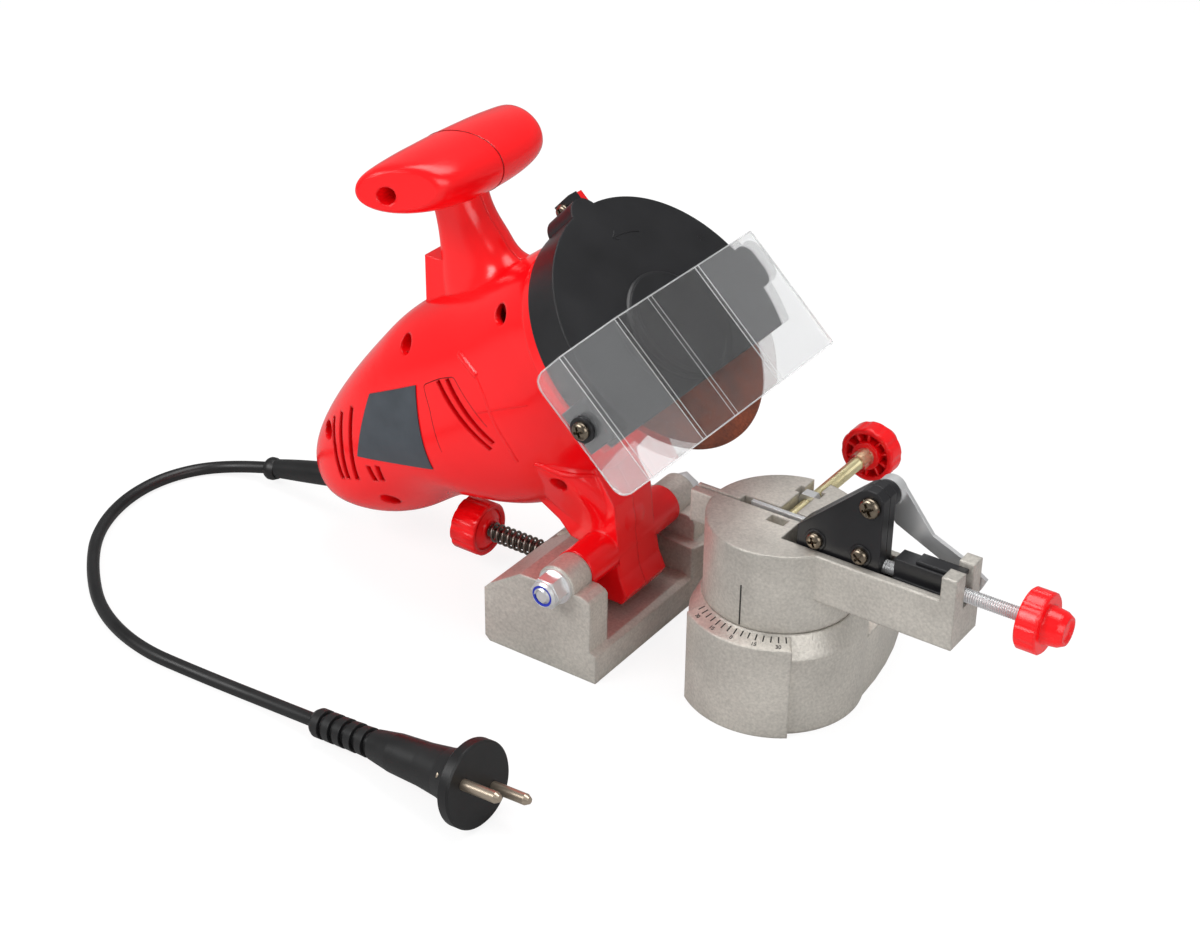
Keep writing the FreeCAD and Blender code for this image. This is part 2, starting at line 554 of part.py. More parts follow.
node(knob("adjust_grip", Vector(adjust_knob_distance, arm_line, adjust_height), ALONG_X), "adjust_knob")

# Head: everything below turns with the head and is placed by its tilt at rest.
HEAD = Placement(Vector(wheel_across, 0, wheel_height), Rotation(ALONG_Y, -rest_tilt))


def head_node(thing, label, local=Placement()):
    thing.Placement = HEAD.multiply(local)
    return node(thing, label)


def smooth_loft(sections, grow):
    wires = []
    for along, top, bottom, half in sections:
        centre = Vector(along, 0, (top + bottom) / 2)
        wires.append(smooth_section(centre, half + grow, (top - bottom) / 2 + grow, 2.35, ALONG_Y, ALONG_Z, 1.65))
    return Part.makeLoft(wires, True, False)


def half_space(side):
    corner = Vector(-400, 0, -400) if side > 0 else Vector(-400, -400, -400)
    return Part.makeBox(800, 400, 800, corner)


def turned(radius, length, start, axis):
    return Part.makeCylinder(radius, length, start, axis)


def inside_out(points, half_width):
    wire = Part.makePolygon([Vector(a, -half_width, b) for a, b in points] + [Vector(points[0][0], -half_width,
                                                                                    points[0][1])])
    return Part.Face(wire).extrude(Vector(0, 2 * half_width, 0))


to_head = HEAD.inverse()
body_sections = [(-15.5, 57, -27, 48), (-47, 64.5, -30, 46), (-68, 70, -32, 45), (-89, 76.5, -31.5, 44),
                 (-121, 79, -21, 43.5), (-136, 78, -9, 42.5), (-165, 74.5, 2.5, 39.5), (-192, 67, 11.5, 33),
                 (-207, 56, 24, 20)]
outer = smooth_loft(body_sections, 0)
inner_sections = [(max(along, -204), top, bottom, half) for along, top, bottom, half in body_sections]
inner = smooth_loft(inner_sections, -housing_wall)

# The leg down to the hinge, drawn upright and then turned into the head's frame.
leg_outline = [(-30, 98), (-6, 86), (6.6, 67.6), (10.7, 33.6), (14.7, 25), (12.4, 20.6), (-2.4, 20.6),
               (-4.6, 25), (-8.4, 33), (-9.4, 42), (-11.5, 44.3), (-16.5, 45.2), (-22.6, 51.5), (-33.4, 57.6),
               (-46, 58), (-60, 70), (-60, 98)]
leg = inside_out(leg_outline, leg_half_width + 0.6)
foot_outline = [(9.6, 40), (11, 33), (14.7, 25), (12.4, 20.6), (-2.4, 20.6), (-4.6, 25), (-7.5, 31), (-8.5, 40)]
foot = inside_out(foot_outline, foot_half_width)
barrel = turned(barrel_radius, 2 * (cavity_half - 0.4), Vector(0, -cavity_half + 0.4, hinge_height), ALONG_Y)
shoulder_wires = []
for level, back, front, half in ((52, -21, 8.6, 14.2), (62, -38, 7.2, 17), (76, -53, 0, 25), (92, -66, -13, 35),
                                 (103, -72, -26, 39)):
    middle = Vector((back + front) / 2, 0, level)
    shoulder_wires.append(smooth_section(middle, half, (front - back) / 2, 3.4, ALONG_Y, ALONG_X))
shoulder = Part.makeLoft(shoulder_wires, True, False)
leg_hollow_outline = [(-34, 96), (-11, 83), (3, 66), (6.6, 57), (-18, 56.5), (-33, 62), (-48, 66), (-54, 74)]
leg_hollow = inside_out(leg_hollow_outline, leg_half_width - housing_wall)
for solid in (leg, foot, barrel, shoulder, leg_hollow):
    solid.Placement = to_head.multiply(solid.Placement)

# The stem and the crossbar of the handle.
stem_wires = []
for level, back, front, half in ((50, -102, -19, 37), (57, -97, -33, 23), (66, -90, -40.5, 15), (77, -81, -40, 13),
                                 (88, -70, -38.5, 12), (98, -61, -34.5, 11.8), (109, -53, -29, 13)):
    middle = Vector((back + front) / 2, 0, level)
    stem_wires.append(smooth_section(middle, half, (front - back) / 2, 2.6, ALONG_Y, ALONG_X))
stem = Part.makeLoft(stem_wires, True, False)
bar_centre = Vector(-33.5, 0, 111.5)
bar_tilt = math.radians(9 - rest_tilt)
bar_across = Vector(math.cos(bar_tilt), 0, math.sin(bar_tilt))
bar_up = Vector(-math.sin(bar_tilt), 0, math.cos(bar_tilt))
upright = Vector(math.sin(math.radians(rest_tilt)), 0, math.cos(math.radians(rest_tilt)))
bar_half = [(0, 22.9, 14.0, 0), (0.3, 22.6, 13.8, 0.1), (0.6, 22, 12.9, 0.6), (0.85, 20.2, 11.5, 1.3),
            (0.97, 18, 10.1, 1.8), (1.02, 15.6, 8.3, 1.8)]
bar_wires = []
for side, rows in ((-1, bar_half[:0:-1]), (1, bar_half)):
    for along, wide, tall, lift in rows:
        middle = bar_centre + Vector(0, side * along * handle_half_length, 0) + upright * lift
        slanted = bar_across - Vector(0, side * handle_slant * along * along, 0)
        bar_wires.append(smooth_section(middle, wide, tall, 2.1, slanted, bar_up))
bar = Part.makeLoft(bar_wires, True, False)

# The bump that carries the switch; its face stands upright at the back of the stem.
bump = Part.makeBox(34, 22, 27, Vector(switch_face, -11, switch_middle - 13.5))
switch_slot = Part.makeBox(32, 13.2, 19.2, Vector(switch_face - 2, -6.6, switch_middle - 9.6))
bezel_room = Part.makeBox(6.6, 17.2, 23.2, Vector(switch_face - 6, -8.6, switch_middle - 11.6))
for solid in (bump, switch_slot, bezel_room):
    solid.Placement = to_head.multiply(solid.Placement)

# Flange at the front, with the bearing seat, and the lugs that carry the guard.
guard_floor = Part.makeBox(200, 200, 200, Vector(-100, -100, -200 - guard_drop))
ring = turned(guard_radius - 1.4, flange_thickness, Vector(-15.6, 0, 0), ALONG_X).cut(guard_floor)
top_lug = Part.makeBox(6.9, 7, 20.5, Vector(-15.6, 16.2, 51))
side_lug = Part.makeBox(6.9, 8, 12, Vector(-15.6, 55, -6))
skin = outer.fuse([leg, foot, shoulder, barrel, stem, bar, bump, ring, top_lug, side_lug])

# Ribs, bearing seats and screw posts inside.
front_seat = turned(17, 12, Vector(-27, 0, 0), ALONG_X)
front_plate = outer.common(Part.makeBox(4.5, 200, 200, Vector(-20, -100, -100)))
rear_rib = outer.common(Part.makeBox(4, 200, 200, Vector(-105, -100, -100)))
stator_ribs = outer.common(Part.makeBox(3, 200, 200, Vector(-66, -100, -100)))
stator_ribs = stator_ribs.fuse(outer.common(Part.makeBox(3, 200, 200, Vector(-44, -100, -100))))
hollow = inner.fuse([leg_hollow])
shell = skin.cut(hollow)
posts_list = [(-95, 65), (-31.5, 46.5), (-169, 60), (-169, 18), (-77, -23.5), (-36.5, 114)]
screw_posts = [turned(5.2, 60, Vector(along, -30, up), ALONG_Y).common(outer) for along, up in posts_list[:5]]
shell = shell.fuse([front_seat, front_plate, rear_rib, stator_ribs] + screw_posts)
shell = shell.cut([turned(shaft_radius + 1.5, 60, Vector(-30, 0, 0), ALONG_X),
                   turned(13.0, 8.1, Vector(-27.05, 0, 0), ALONG_X),
                   turned(11.0, 7.1, Vector(-106, 0, 0), ALONG_X),
                   turned(motor_radius, 30, Vector(-69, 0, 0), ALONG_X)])
hinge_tube = turned(hinge_radius + running_gap, 120, Vector(0, -60, hinge_height), ALONG_Y)
hinge_tube.Placement = to_head.multiply(hinge_tube.Placement)
gland_axis = Vector(-42, 0, -10.2).normalize()
gland_hole = turned(sleeve_radius + 0.1, 60, Vector(-141.2, 0, 23.87), gland_axis)
gland_hole.Placement = to_head.multiply(gland_hole.Placement)
lug_pilots = [turned(1.6, 9, Vector(-12.2, 15, 67.4), ALONG_Y), turned(1.6, 10, Vector(-12.2, 54, 0), ALONG_Y)]
shell = shell.cut([hinge_tube, switch_slot, bezel_room, gland_hole] + lug_pilots)

# Cut the shell into its two halves and give each its half of every screw post.
vents = []
for low, high in (((-142.6, 60.1), (-167.3, 33.3)), ((-152.3, 61.8), (-171.9, 36.3)),
                  ((-160.5, 62.9), (-175.3, 38)), ((-81.7, 42.8), (-81.8, 5.6)), ((-76, 40.7), (-77.2, 7)),
                  ((-153.3, 34.9), (-158.9, 27.7)), ((-148.3, 32.2), (-155.6, 25.7))):
    first = Vector(low[0], 0, low[1])
    second = Vector(high[0], 0, high[1])
    run = second - first
    slot = Part.makeBox(run.Length, 80, 2.6, Vector(0, 28, -1.3))
    slot.Placement = Placement(first, Rotation(ALONG_X, run))
    vents.append(slot)
    vents.append(slot.mirror(Vector(0, 0, 0), ALONG_Y))
shell = shell.cut(vents)
near_tools = [turned(2.0, 60, Vector(along, -60, up), ALONG_Y) for along, up in posts_list]
near_tools += [turned(3.9, 48, Vector(along, -62, up), ALONG_Y) for along, up in posts_list]
far_tools = [turned(1.5, 16, Vector(along, -0.5, up), ALONG_Y) for along, up in posts_list]
left_shell = shell.common(half_space(-1)).cut(near_tools)
right_shell = shell.common(half_space(1)).cut(far_tools)


def head_solid(name, shape, label):
    biggest = sorted(shape.Solids, key=lambda solid: solid.Volume)[-1]
    return head_node(shaped(name, biggest), label, biggest.Placement)


def head_group(name, shapes, label):
    return head_node(shaped(name, Part.makeCompound(shapes)), label)


# A round piece of the head whose axis is the motor axis, or along Y for the case screws.
def head_lathe(name, section, start, axis, label):
    body = lathe(name, section, Vector())
    return head_node(body, label, Placement(start, Rotation(ALONG_Z, axis)))


# Shield: a bent sheet whose section runs along the wheel's front.
shield_line = [(-66.6, -10.5), (-66.6, 8.6), (-40, 20), (-16, 19.8), (21, 18.2), (64, 18.8)]


def sheet_shape(line, thickness, low, high):
    left = []
    right = []
    count = len(line)
    for index in range(count):
        before = Vector(line[max(index - 1, 0)][1], line[max(index - 1, 0)][0], 0)
        after = Vector(line[min(index + 1, count - 1)][1], line[min(index + 1, count - 1)][0], 0)
        run = (after - before).normalize()
        across = Vector(-run.y, run.x, 0) * (thickness / 2)
        middle = Vector(line[index][1], line[index][0], low)
        left.append(middle + across)
        right.append(middle - across)
    loop = left + right[::-1]
    return Part.Face(Part.makePolygon(loop + [loop[0]])).extrude(Vector(0, 0, high - low))


tab_screw = Vector(-3.5, -66.6, -13)
shield = sheet_shape(shield_line, shield_thickness, -44.6, 15)
shield = shield.cut(turned(2.6, 12, Vector(tab_screw.x, -72, tab_screw.z), ALONG_Y))
head_solid("shield_sheet", shield, "shield")

# Housing halves.
head_solid("left_half", left_shell, "housing_left")
head_solid("right_half", right_shell, "housing_right")
case_screws = []
for along, up in posts_list:
    head = turned(3.5, 2.4, Vector(along, -16.4, up), ALONG_Y)
    case_screws.append(turned(1.5, 27, Vector(along, -14, up), ALONG_Y).fuse(head))
head_group("case_screw_set", case_screws, "housing_screws")

# Motor: stator, armature on its shaft, commutator, fan, bearings and brushes.
stack_start = -68.0
stator_core = turned(motor_radius - 0.05, 26, Vector(stack_start, 0, 0), ALONG_X)
coil_front = turned(20.5, 5, Vector(stack_start + 25, 0, 0), ALONG_X)
coil_back = turned(18.6, 5, Vector(stack_start - 4, 0, 0), ALONG_X)
stator = stator_core.fuse([coil_front, coil_back]).cut(turned(15.6, 60, Vector(-90, 0, 0), ALONG_X))
head_solid("stator_stack", stator, "stator")
shaft_section = [(0, -110), (4, -110), (4, -98), (shaft_radius, -98), (shaft_radius, -78), (9, -78), (9, -70),
                 (15, -69), (15, -41), (9, -40), (9, -36), (shaft_radius, -36), (shaft_radius, 7.4),
                 (shaft_radius - 1, 8.4), (0, 8.4)]
head_lathe("armature_turned", shaft_section, Vector(), ALONG_X, "armature")
head_lathe("commutator_turned", [(shaft_radius, -94), (9.5, -94), (9.5, -79), (shaft_radius, -79)], Vector(),
           ALONG_X, "commutator")
fan_section = [(shaft_radius, -34.5), (9, -34.5), (9, -31), (24, -30.5), (24, -29), (shaft_radius, -29)]
head_lathe("fan_turned", fan_section, Vector(), ALONG_X, "fan")
front_bearing = [(shaft_radius, -26.9), (13, -26.9), (13, -19), (shaft_radius, -19)]
head_lathe("front_bearing_turned", front_bearing, Vector(), ALONG_X, "front_bearing")
rear_bearing = [(4, -105.9), (11, -105.9), (11, -99), (4, -99)]
head_lathe("rear_bearing_turned", rear_bearing, Vector(), ALONG_X, "rear_bearing")
holders = []
brushes = []
for side in (-1, 1):
    tube = Part.makeBox(12, 14, 10, Vector(-98.9, -25 if side < 0 else 11, -5))
    slot = Part.makeBox(6, 20, 6, Vector(-91, -28 if side < 0 else 8, -3))
    foot_plate = Part.makeBox(3, 15.4, 17, Vector(-101, -26.4 if side < 0 else 11, -8.5))
    holders.append(tube.fuse(foot_plate).cut(slot))
    brushes.append(Part.makeBox(5.8, 11, 5.8, Vector(-90.9, -20.8 if side < 0 else 9.8, -2.9)))
head_group("brush_tubes", holders, "brush_holders")
head_group("brush_pair", brushes, "brushes")

# Wheel between its flanges, held by a nut.
half_wheel = wheel_thickness / 2
flange_back_section = [(shaft_radius, -8.2), (9, -8.2), (9, -half_wheel - 4), (17, -half_wheel - 4),
                       (17, -half_wheel), (wheel_bore - 0.03, -half_wheel), (wheel_bore - 0.03, half_wheel - 0.3),
                       (shaft_radius, half_wheel - 0.3)]
head_lathe("flange_back_turned", flange_back_section, Vector(), ALONG_X, "wheel_flange_back")
wheel_section = [(wheel_bore, -half_wheel), (wheel_radius - 1.2, -half_wheel), (wheel_radius, -half_wheel + 1.2),
                 (wheel_radius, half_wheel - 1.2), (wheel_radius - 1.2, half_wheel), (wheel_bore, half_wheel)]
head_lathe("wheel_turned", wheel_section, Vector(), ALONG_X, "grinding_wheel")
flange_front_section = [(shaft_radius, half_wheel + 0.02), (17, half_wheel + 0.02), (17, half_wheel + 1.6),
                        (shaft_radius, half_wheel + 1.6)]
head_lathe("flange_front_turned", flange_front_section, Vector(), ALONG_X, "wheel_flange_front")
hex_tool = doc.addObject("Part::Prism", "wheel_hex")
hex_tool.Polygon = 6
bind(hex_tool, Circumradius="8.6", Height="3.4")
hex_tool.Placement = Placement(Vector(half_wheel + 1.64, 0, 0), Rotation(ALONG_Z, ALONG_X))
hex_cut = cut("wheel_nut_solid", hex_tool, [cylinder("wheel_nut_tap", "shaft_radius", "8", Vector(), ALONG_X)])
head_node(hex_cut, "wheel_nut")

# Guard over the upper part of the wheel.
guard_face = guard_front - guard_wall
guard_depth = guard_front + guard_back
guard_solid = turned(guard_radius, guard_depth, Vector(-guard_back, 0, 0), ALONG_X)
guard_inside = turned(guard_radius - guard_wall, guard_face + guard_back, Vector(-guard_back, 0, 0), ALONG_X)
guard_hump = turned(24, 4, Vector(guard_face, 0, 0), ALONG_X)
hump_inside = turned(20, 3.6, Vector(guard_face - 1, 0, 0), ALONG_X)
guard_top_lug = Part.makeBox(10.4, 5.8, 16.5, Vector(-15.4, 10.1, 55))
guard_side_lug = Part.makeBox(12, 10.8, 10, Vector(-15.4, 63.2, -5))
guard_side_lug = guard_side_lug.fuse(Part.makeBox(7, 8, 10, Vector(-7, 58.5, -5)))
guard_near_lug = Part.makeBox(15, 8.4, 20, Vector(-10.4, -65.4, -23))
guard_back_clear = turned(guard_radius + 0.2, 8, Vector(-16.6, 0, 0), ALONG_X)
guard_ears = [turned(8.4, guard_depth, Vector(-guard_back, -3.7, 57.6), ALONG_X),
              turned(6.2, guard_depth, Vector(-guard_back, 63, 6.6), ALONG_X),
              turned(6.2, guard_depth, Vector(-guard_back, 63, -1.4), ALONG_X),
              Part.makeBox(guard_depth, 11.2, 8, Vector(-guard_back, 58, -1.4))]
guard = guard_solid.fuse(guard_ears + [guard_hump, guard_top_lug, guard_side_lug, guard_near_lug])
guard = guard.cut([guard_inside, hump_inside, guard_floor, guard_back_clear])
top_screw = Vector(-12.2, 10.1, 67.4)
side_screw = Vector(-12.2, 74, 0)
lug_holes = [turned(2.1, 12, top_screw - Vector(0, 4, 0), ALONG_Y),
             turned(2.1, 20, side_screw - Vector(0, 18, 0), ALONG_Y),
             turned(1.6, 8, Vector(tab_screw.x, -66, tab_screw.z), ALONG_Y)]
head_solid("guard_shell", guard.cut(lug_holes), "guard")


def pan_screw(head_radius, shank_radius, length, place, axis):
    head = turned(head_radius, 2.2, place, axis)
    crown = Part.makeCone(head_radius, head_radius * 0.6, 0.5, place + axis * 2.2, axis)
    return head.fuse([crown, turned(shank_radius, length, place, axis * -1)])


back_y = Vector(0, -1, 0)
head_group("guard_screw_set", [pan_screw(3.6, 1.6, 12, top_screw, back_y),
                               pan_screw(3.6, 1.6, 18, side_screw, ALONG_Y)], "guard_screws")
tab_outer = tab_screw.y - shield_thickness / 2
tab_inner = tab_screw.y + shield_thickness / 2
head_group("shield_screw_turned", [pan_screw(4.0, 1.6, 10, Vector(tab_screw.x, tab_outer - 1.42, tab_screw.z),
                                             back_y)], "shield_screw")
tab_washers = [turned(5.6, 1.38, Vector(tab_screw.x, tab_outer - 1.4, tab_screw.z), ALONG_Y),
               turned(6.2, 0.36, Vector(tab_screw.x, tab_inner + 0.02, tab_screw.z), ALONG_Y)]
tab_bore = turned(1.6, 12, Vector(tab_screw.x, -72, tab_screw.z), ALONG_Y)
head_group("shield_washer_pair", [washer.cut(tab_bore) for washer in tab_washers], "shield_washers")

# Switch at the back of the stem, in its upright face.
switch_box = Part.makeBox(20, 13, 19, Vector(switch_face - 0.2, -6.5, switch_middle - 9.5))
bezel = Part.makeBox(1.05, 17, 23, Vector(switch_face - 0.5, -8.5, switch_middle - 11.5))
rocker_room = Part.makeBox(9, 9.6, 15.6, Vector(switch_face - 2, -4.8, switch_middle - 8.4))
rocker_hinge = Vector(switch_face + 4, -5.7, switch_middle)
rocker_bore = turned(1.05, 12.4, rocker_hinge - Vector(0, 0.5, 0), ALONG_Y)
switch_solid = switch_box.fuse(bezel).cut([rocker_room, rocker_bore])
rocker_line = [(switch_face + 4, switch_middle + 4), (switch_face + 0.6, switch_middle + 6.7),
               (switch_face - 1.2, switch_middle), (switch_face - 2.9, switch_middle - 6.7),
               (switch_face + 4, switch_middle - 4)]
rocker = inside_out(rocker_line, 4.5).fuse(turned(1.0, 11.4, rocker_hinge, ALONG_Y))
for solid in (switch_solid, rocker):
    solid.Placement = to_head.multiply(solid.Placement)
head_solid("switch_housing", switch_solid, "switch_body")
head_solid("switch_paddle", rocker, "switch_rocker")

# Plain badge that follows the side of the housing.
badge_prism = inside_out([(-126.2, 59), (-95.3, 47.8), (-118.7, 15), (-154, 41.3)], 70)
badge_prism = badge_prism.common(half_space(-1))
badge = badge_prism.common(smooth_loft(body_sections, 0.6)).cut(smooth_loft(body_sections, 0.04))
head_solid("badge_plate", badge, "badge")

# Strain-relief sleeve, cord and plug.
cord_points = [(-209, -0.8, 7.5), (-234.1, -6.0, 3.08), (-250, -29.5, 3.05), (-252, -58, 3.05),
               (-241, -88, 3.05), (-219, -113, 3.05), (-191, -135, 3.05), (-157, -146, 3.05),
               (-121.5, -145, 3.05), (-86.2, -142.9, 3.05), (-52.4, -145.4, 7.55)]


def sleeve_section(place, along, radius):
    return Part.Wire([Part.Circle(place, along, radius).toShape()])


cord_heading = (Vector(*cord_points[1]) - Vector(*cord_points[0])).normalize()
sleeve_start = Vector(-143.1, 0, 23.4)
sleeve_wires = [sleeve_section(sleeve_start, gland_axis, sleeve_radius),
                sleeve_section(sleeve_start + gland_axis * 25, gland_axis, sleeve_radius),
                sleeve_section(sleeve_start + gland_axis * 47, gland_axis, sleeve_radius - 0.5),
                sleeve_section(Vector(*cord_points[0]), cord_heading, sleeve_radius - 1.6)]
sleeve = Part.makeLoft(sleeve_wires, True, False)
node(shaped("sleeve_loft", sleeve), "strain_relief")
cord_edges = []
here = Vector(*cord_points[0])
for index in range(1, len(cord_points) - 1):
    before = Vector(*cord_points[index - 1])
    corner = Vector(*cord_points[index])
    after = Vector(*cord_points[index + 1])
    shorter = min((corner - before).Length, (after - corner).Length)
    inward = (before - corner).normalize()
    outward = (after - corner).normalize()
    turn = math.pi - inward.getAngle(outward)
    reach = 0.45 * shorter
    bend_radius = reach / math.tan(turn / 2)
    bisector = (inward + outward).normalize()
    middle = corner + bisector * (bend_radius / math.cos(turn / 2) - bend_radius)
    bend_start = corner + inward * reach
    bend_end = corner + outward * reach
    cord_edges.append(Part.LineSegment(here, bend_start).toShape())
    cord_edges.append(Part.Arc(bend_start, middle, bend_end).toShape())
    here = bend_end
cord_edges.append(Part.LineSegment(here, Vector(*cord_points[-1])).toShape())
cord_path = Part.Wire(cord_edges)
cord_ring = Part.Wire([Part.Circle(Vector(*cord_points[0]), cord_heading, cord_radius).toShape()])
node(shaped("cord_tube", cord_path.makePipeShell([cord_ring], True, False)), "cord")
plug_tail = Vector(*cord_points[-1])
plug_axis = (plug_tail - Vector(*cord_points[-2])).normalize()
plug_section = [(0, 0), (5.6, 0)]
for index in range(5):
    rib_start = 1.5 + index * 6.4
    plug_section += [(6.4 - index * 0.05, rib_start), (6.4, rib_start + 3.8), (4.8, rib_start + 4.0),
                     (4.8, rib_start + 6.2)]
plug_section += [(6.6, 34), (8.4, 46), (9.2, 62), (10.6, 74), (13.4, 84.9), (plug_flange_radius - 0.8, 84.9),
                 (plug_flange_radius, 85.7), (plug_flange_radius, 89.9), (plug_flange_radius - 0.8, 90.7), (0, 90.7)]
plug_turned = lathe("plug_turned", plug_section, plug_tail, plug_axis)
view_line = Vector(-0.488, 0.711, -0.506)
pin_side = (view_line - plug_axis * view_line.dot(plug_axis)).normalize()
pins = []
pin_holes = []
for side in (-1, 1):
    pin_place = plug_tail + plug_axis * 78 + pin_side * (side * plug_pin_spacing / 2)
    length = 90.7 - 78 + plug_pin_length
    pin = cylinder("pin%d" % (side + 1), "plug_pin_radius", "12.7+plug_pin_length-2", pin_place, plug_axis)
    tip = cone("pin_tip%d" % (side + 1), "plug_pin_radius", "plug_pin_radius-1", "2",
               pin_place + plug_axis * (length - 2), plug_axis)
    pins.append(fuse("pin_pair%d" % (side + 1), [pin, tip]))
    pin_holes.append(cylinder("pin_hole%d" % (side + 1), "plug_pin_radius", "20", pin_place, plug_axis))
node(cut("plug_drilled", plug_turned, pin_holes), "plug_body")
pin_group = doc.addObject("Part::Compound", "pin_group")
pin_group.Links = pins
node(pin_group, "plug_pins")

doc.recompute()
os.makedirs("parts", exist_ok=True)
for thing in NODES:
    if "Invalid" in thing.State or "Error" in thing.State:
        raise RuntimeError("broken object " + thing.Label)
    if thing.Shape.isNull() or not thing.Shape.isValid():
        raise RuntimeError("bad shape " + thing.Label)
    thing.Shape.exportStep("parts/" + thing.Label + ".step")
print("written", len(NODES))
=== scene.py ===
import json
import math

import bpy
from mathutils import Matrix, Vector


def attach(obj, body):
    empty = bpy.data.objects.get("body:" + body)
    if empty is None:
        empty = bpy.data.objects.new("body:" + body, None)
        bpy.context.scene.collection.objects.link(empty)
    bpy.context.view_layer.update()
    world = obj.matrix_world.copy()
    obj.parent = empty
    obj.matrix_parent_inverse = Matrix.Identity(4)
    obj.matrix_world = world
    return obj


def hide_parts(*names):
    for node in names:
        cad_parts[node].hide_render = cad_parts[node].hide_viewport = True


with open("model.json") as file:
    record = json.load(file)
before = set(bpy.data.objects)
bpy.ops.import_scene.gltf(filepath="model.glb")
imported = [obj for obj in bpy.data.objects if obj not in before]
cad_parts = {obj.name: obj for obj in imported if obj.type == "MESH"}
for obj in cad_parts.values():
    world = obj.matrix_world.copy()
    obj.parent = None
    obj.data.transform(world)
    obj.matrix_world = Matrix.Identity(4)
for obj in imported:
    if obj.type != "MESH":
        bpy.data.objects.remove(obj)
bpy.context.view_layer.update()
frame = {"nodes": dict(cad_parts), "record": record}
nodes = frame["nodes"]
bpy.ops.object.select_all(action="DESELECT")

# Places shared by several pieces, in metres. The head's own frame has its origin at the wheel's
# centre, its first number along the motor axis and its third up towards the handle.
restDegrees = 47
headPlace = Matrix.Translation((0.0201, 0, 0.1497)) @ Matrix.Rotation(-math.radians(restDegrees), 4, "Y")
intoHead = headPlace.inverted()
hingeHeight = 0.0435
depthHeight = 0.0205
pedestalDistance = 0.0825
clampAxis = {"x": 0.0819, "z": 0.0788}
adjustAxis = {"y": -0.0087, "z": 0.0835}
nearWards = (0, -1, 0)
farWards = (0, 1, 0)
frontWards = (1, 0, 0)
backWards = (-1, 0, 0)
mergeDistance = 0.00001


def headPoint(along, across, up):
    return headPlace @ Vector((along / 1000, across / 1000, up / 1000))


# Camera
view = {"place": (0.4739, -0.7065, 0.5801), "azimuth": 34.46, "elevation": 30.39, "roll": 0.61,
        "lens": 68.01, "sensorWidth": 36.0, "clipStart": 0.01}


def addCamera():
    turn = math.radians(view["azimuth"])
    drop = math.radians(view["elevation"])
    roll = math.radians(view["roll"])
    ahead = Vector((-math.sin(turn) * math.cos(drop), math.cos(turn) * math.cos(drop), -math.sin(drop)))
    right = Vector((math.cos(turn), math.sin(turn), 0))
    up = right.cross(ahead)
    rolledRight = right * math.cos(roll) + up * math.sin(roll)
    rolledUp = up * math.cos(roll) - right * math.sin(roll)
    data = bpy.data.cameras.new("camera")
    data.lens = view["lens"]
    data.sensor_width = view["sensorWidth"]
    data.clip_start = view["clipStart"]
    camera = bpy.data.objects.new("camera", data)
    bpy.context.scene.collection.objects.link(camera)
    axes = Matrix((rolledRight, rolledUp, -ahead)).transposed().to_4x4()
    camera.matrix_world = Matrix.Translation(view["place"]) @ axes
    bpy.context.scene.camera = camera


addCamera()
print("camera placed")

# Stage: a pale floor and plain soft lamps
studio = {"worldStrength": 0.46, "glossShare": -0.30, "floorSize": 12, "floorColor": 0.86,
          "floorGlow": 0.80, "floorGloss": 0.65, "floorBright": 1.06, "floorDim": 0.12,
          "lampTarget": (0, 0, 0.1), "lampShape": 0.7}
lamps = {"keyLamp": {"place": (-0.55, -1.0, 0.95), "width": 0.8, "power": 12.0},
         "fillLamp": {"place": (1.1, -0.5, 0.6), "width": 0.9, "power": 5.2},
         "topLamp": {"place": (0.0, 0.25, 1.25), "width": 1.0, "power": 9.5}}


# One share for what the camera sees, also through clear plastic, and another for reflections.
def lightPathShare(tree, seenShare, glossShare):
    path = tree.nodes.new("ShaderNodeLightPath")
    shares = []
    for ray, share in (("Is Camera Ray", seenShare), ("Is Transmission Ray", seenShare),
                       ("Is Glossy Ray", glossShare)):
        scaled = tree.nodes.new("ShaderNodeMath")
        scaled.operation = "MULTIPLY"
        scaled.inputs[1].default_value = share
        tree.links.new(path.outputs[ray], scaled.inputs[0])
        shares.append(scaled.outputs[0])
    total = shares[0]
    for share in shares[1:]:
        adder = tree.nodes.new("ShaderNodeMath")
        adder.operation = "ADD"
        tree.links.new(total, adder.inputs[0])
        tree.links.new(share, adder.inputs[1])
        total = adder.outputs[0]
    return total


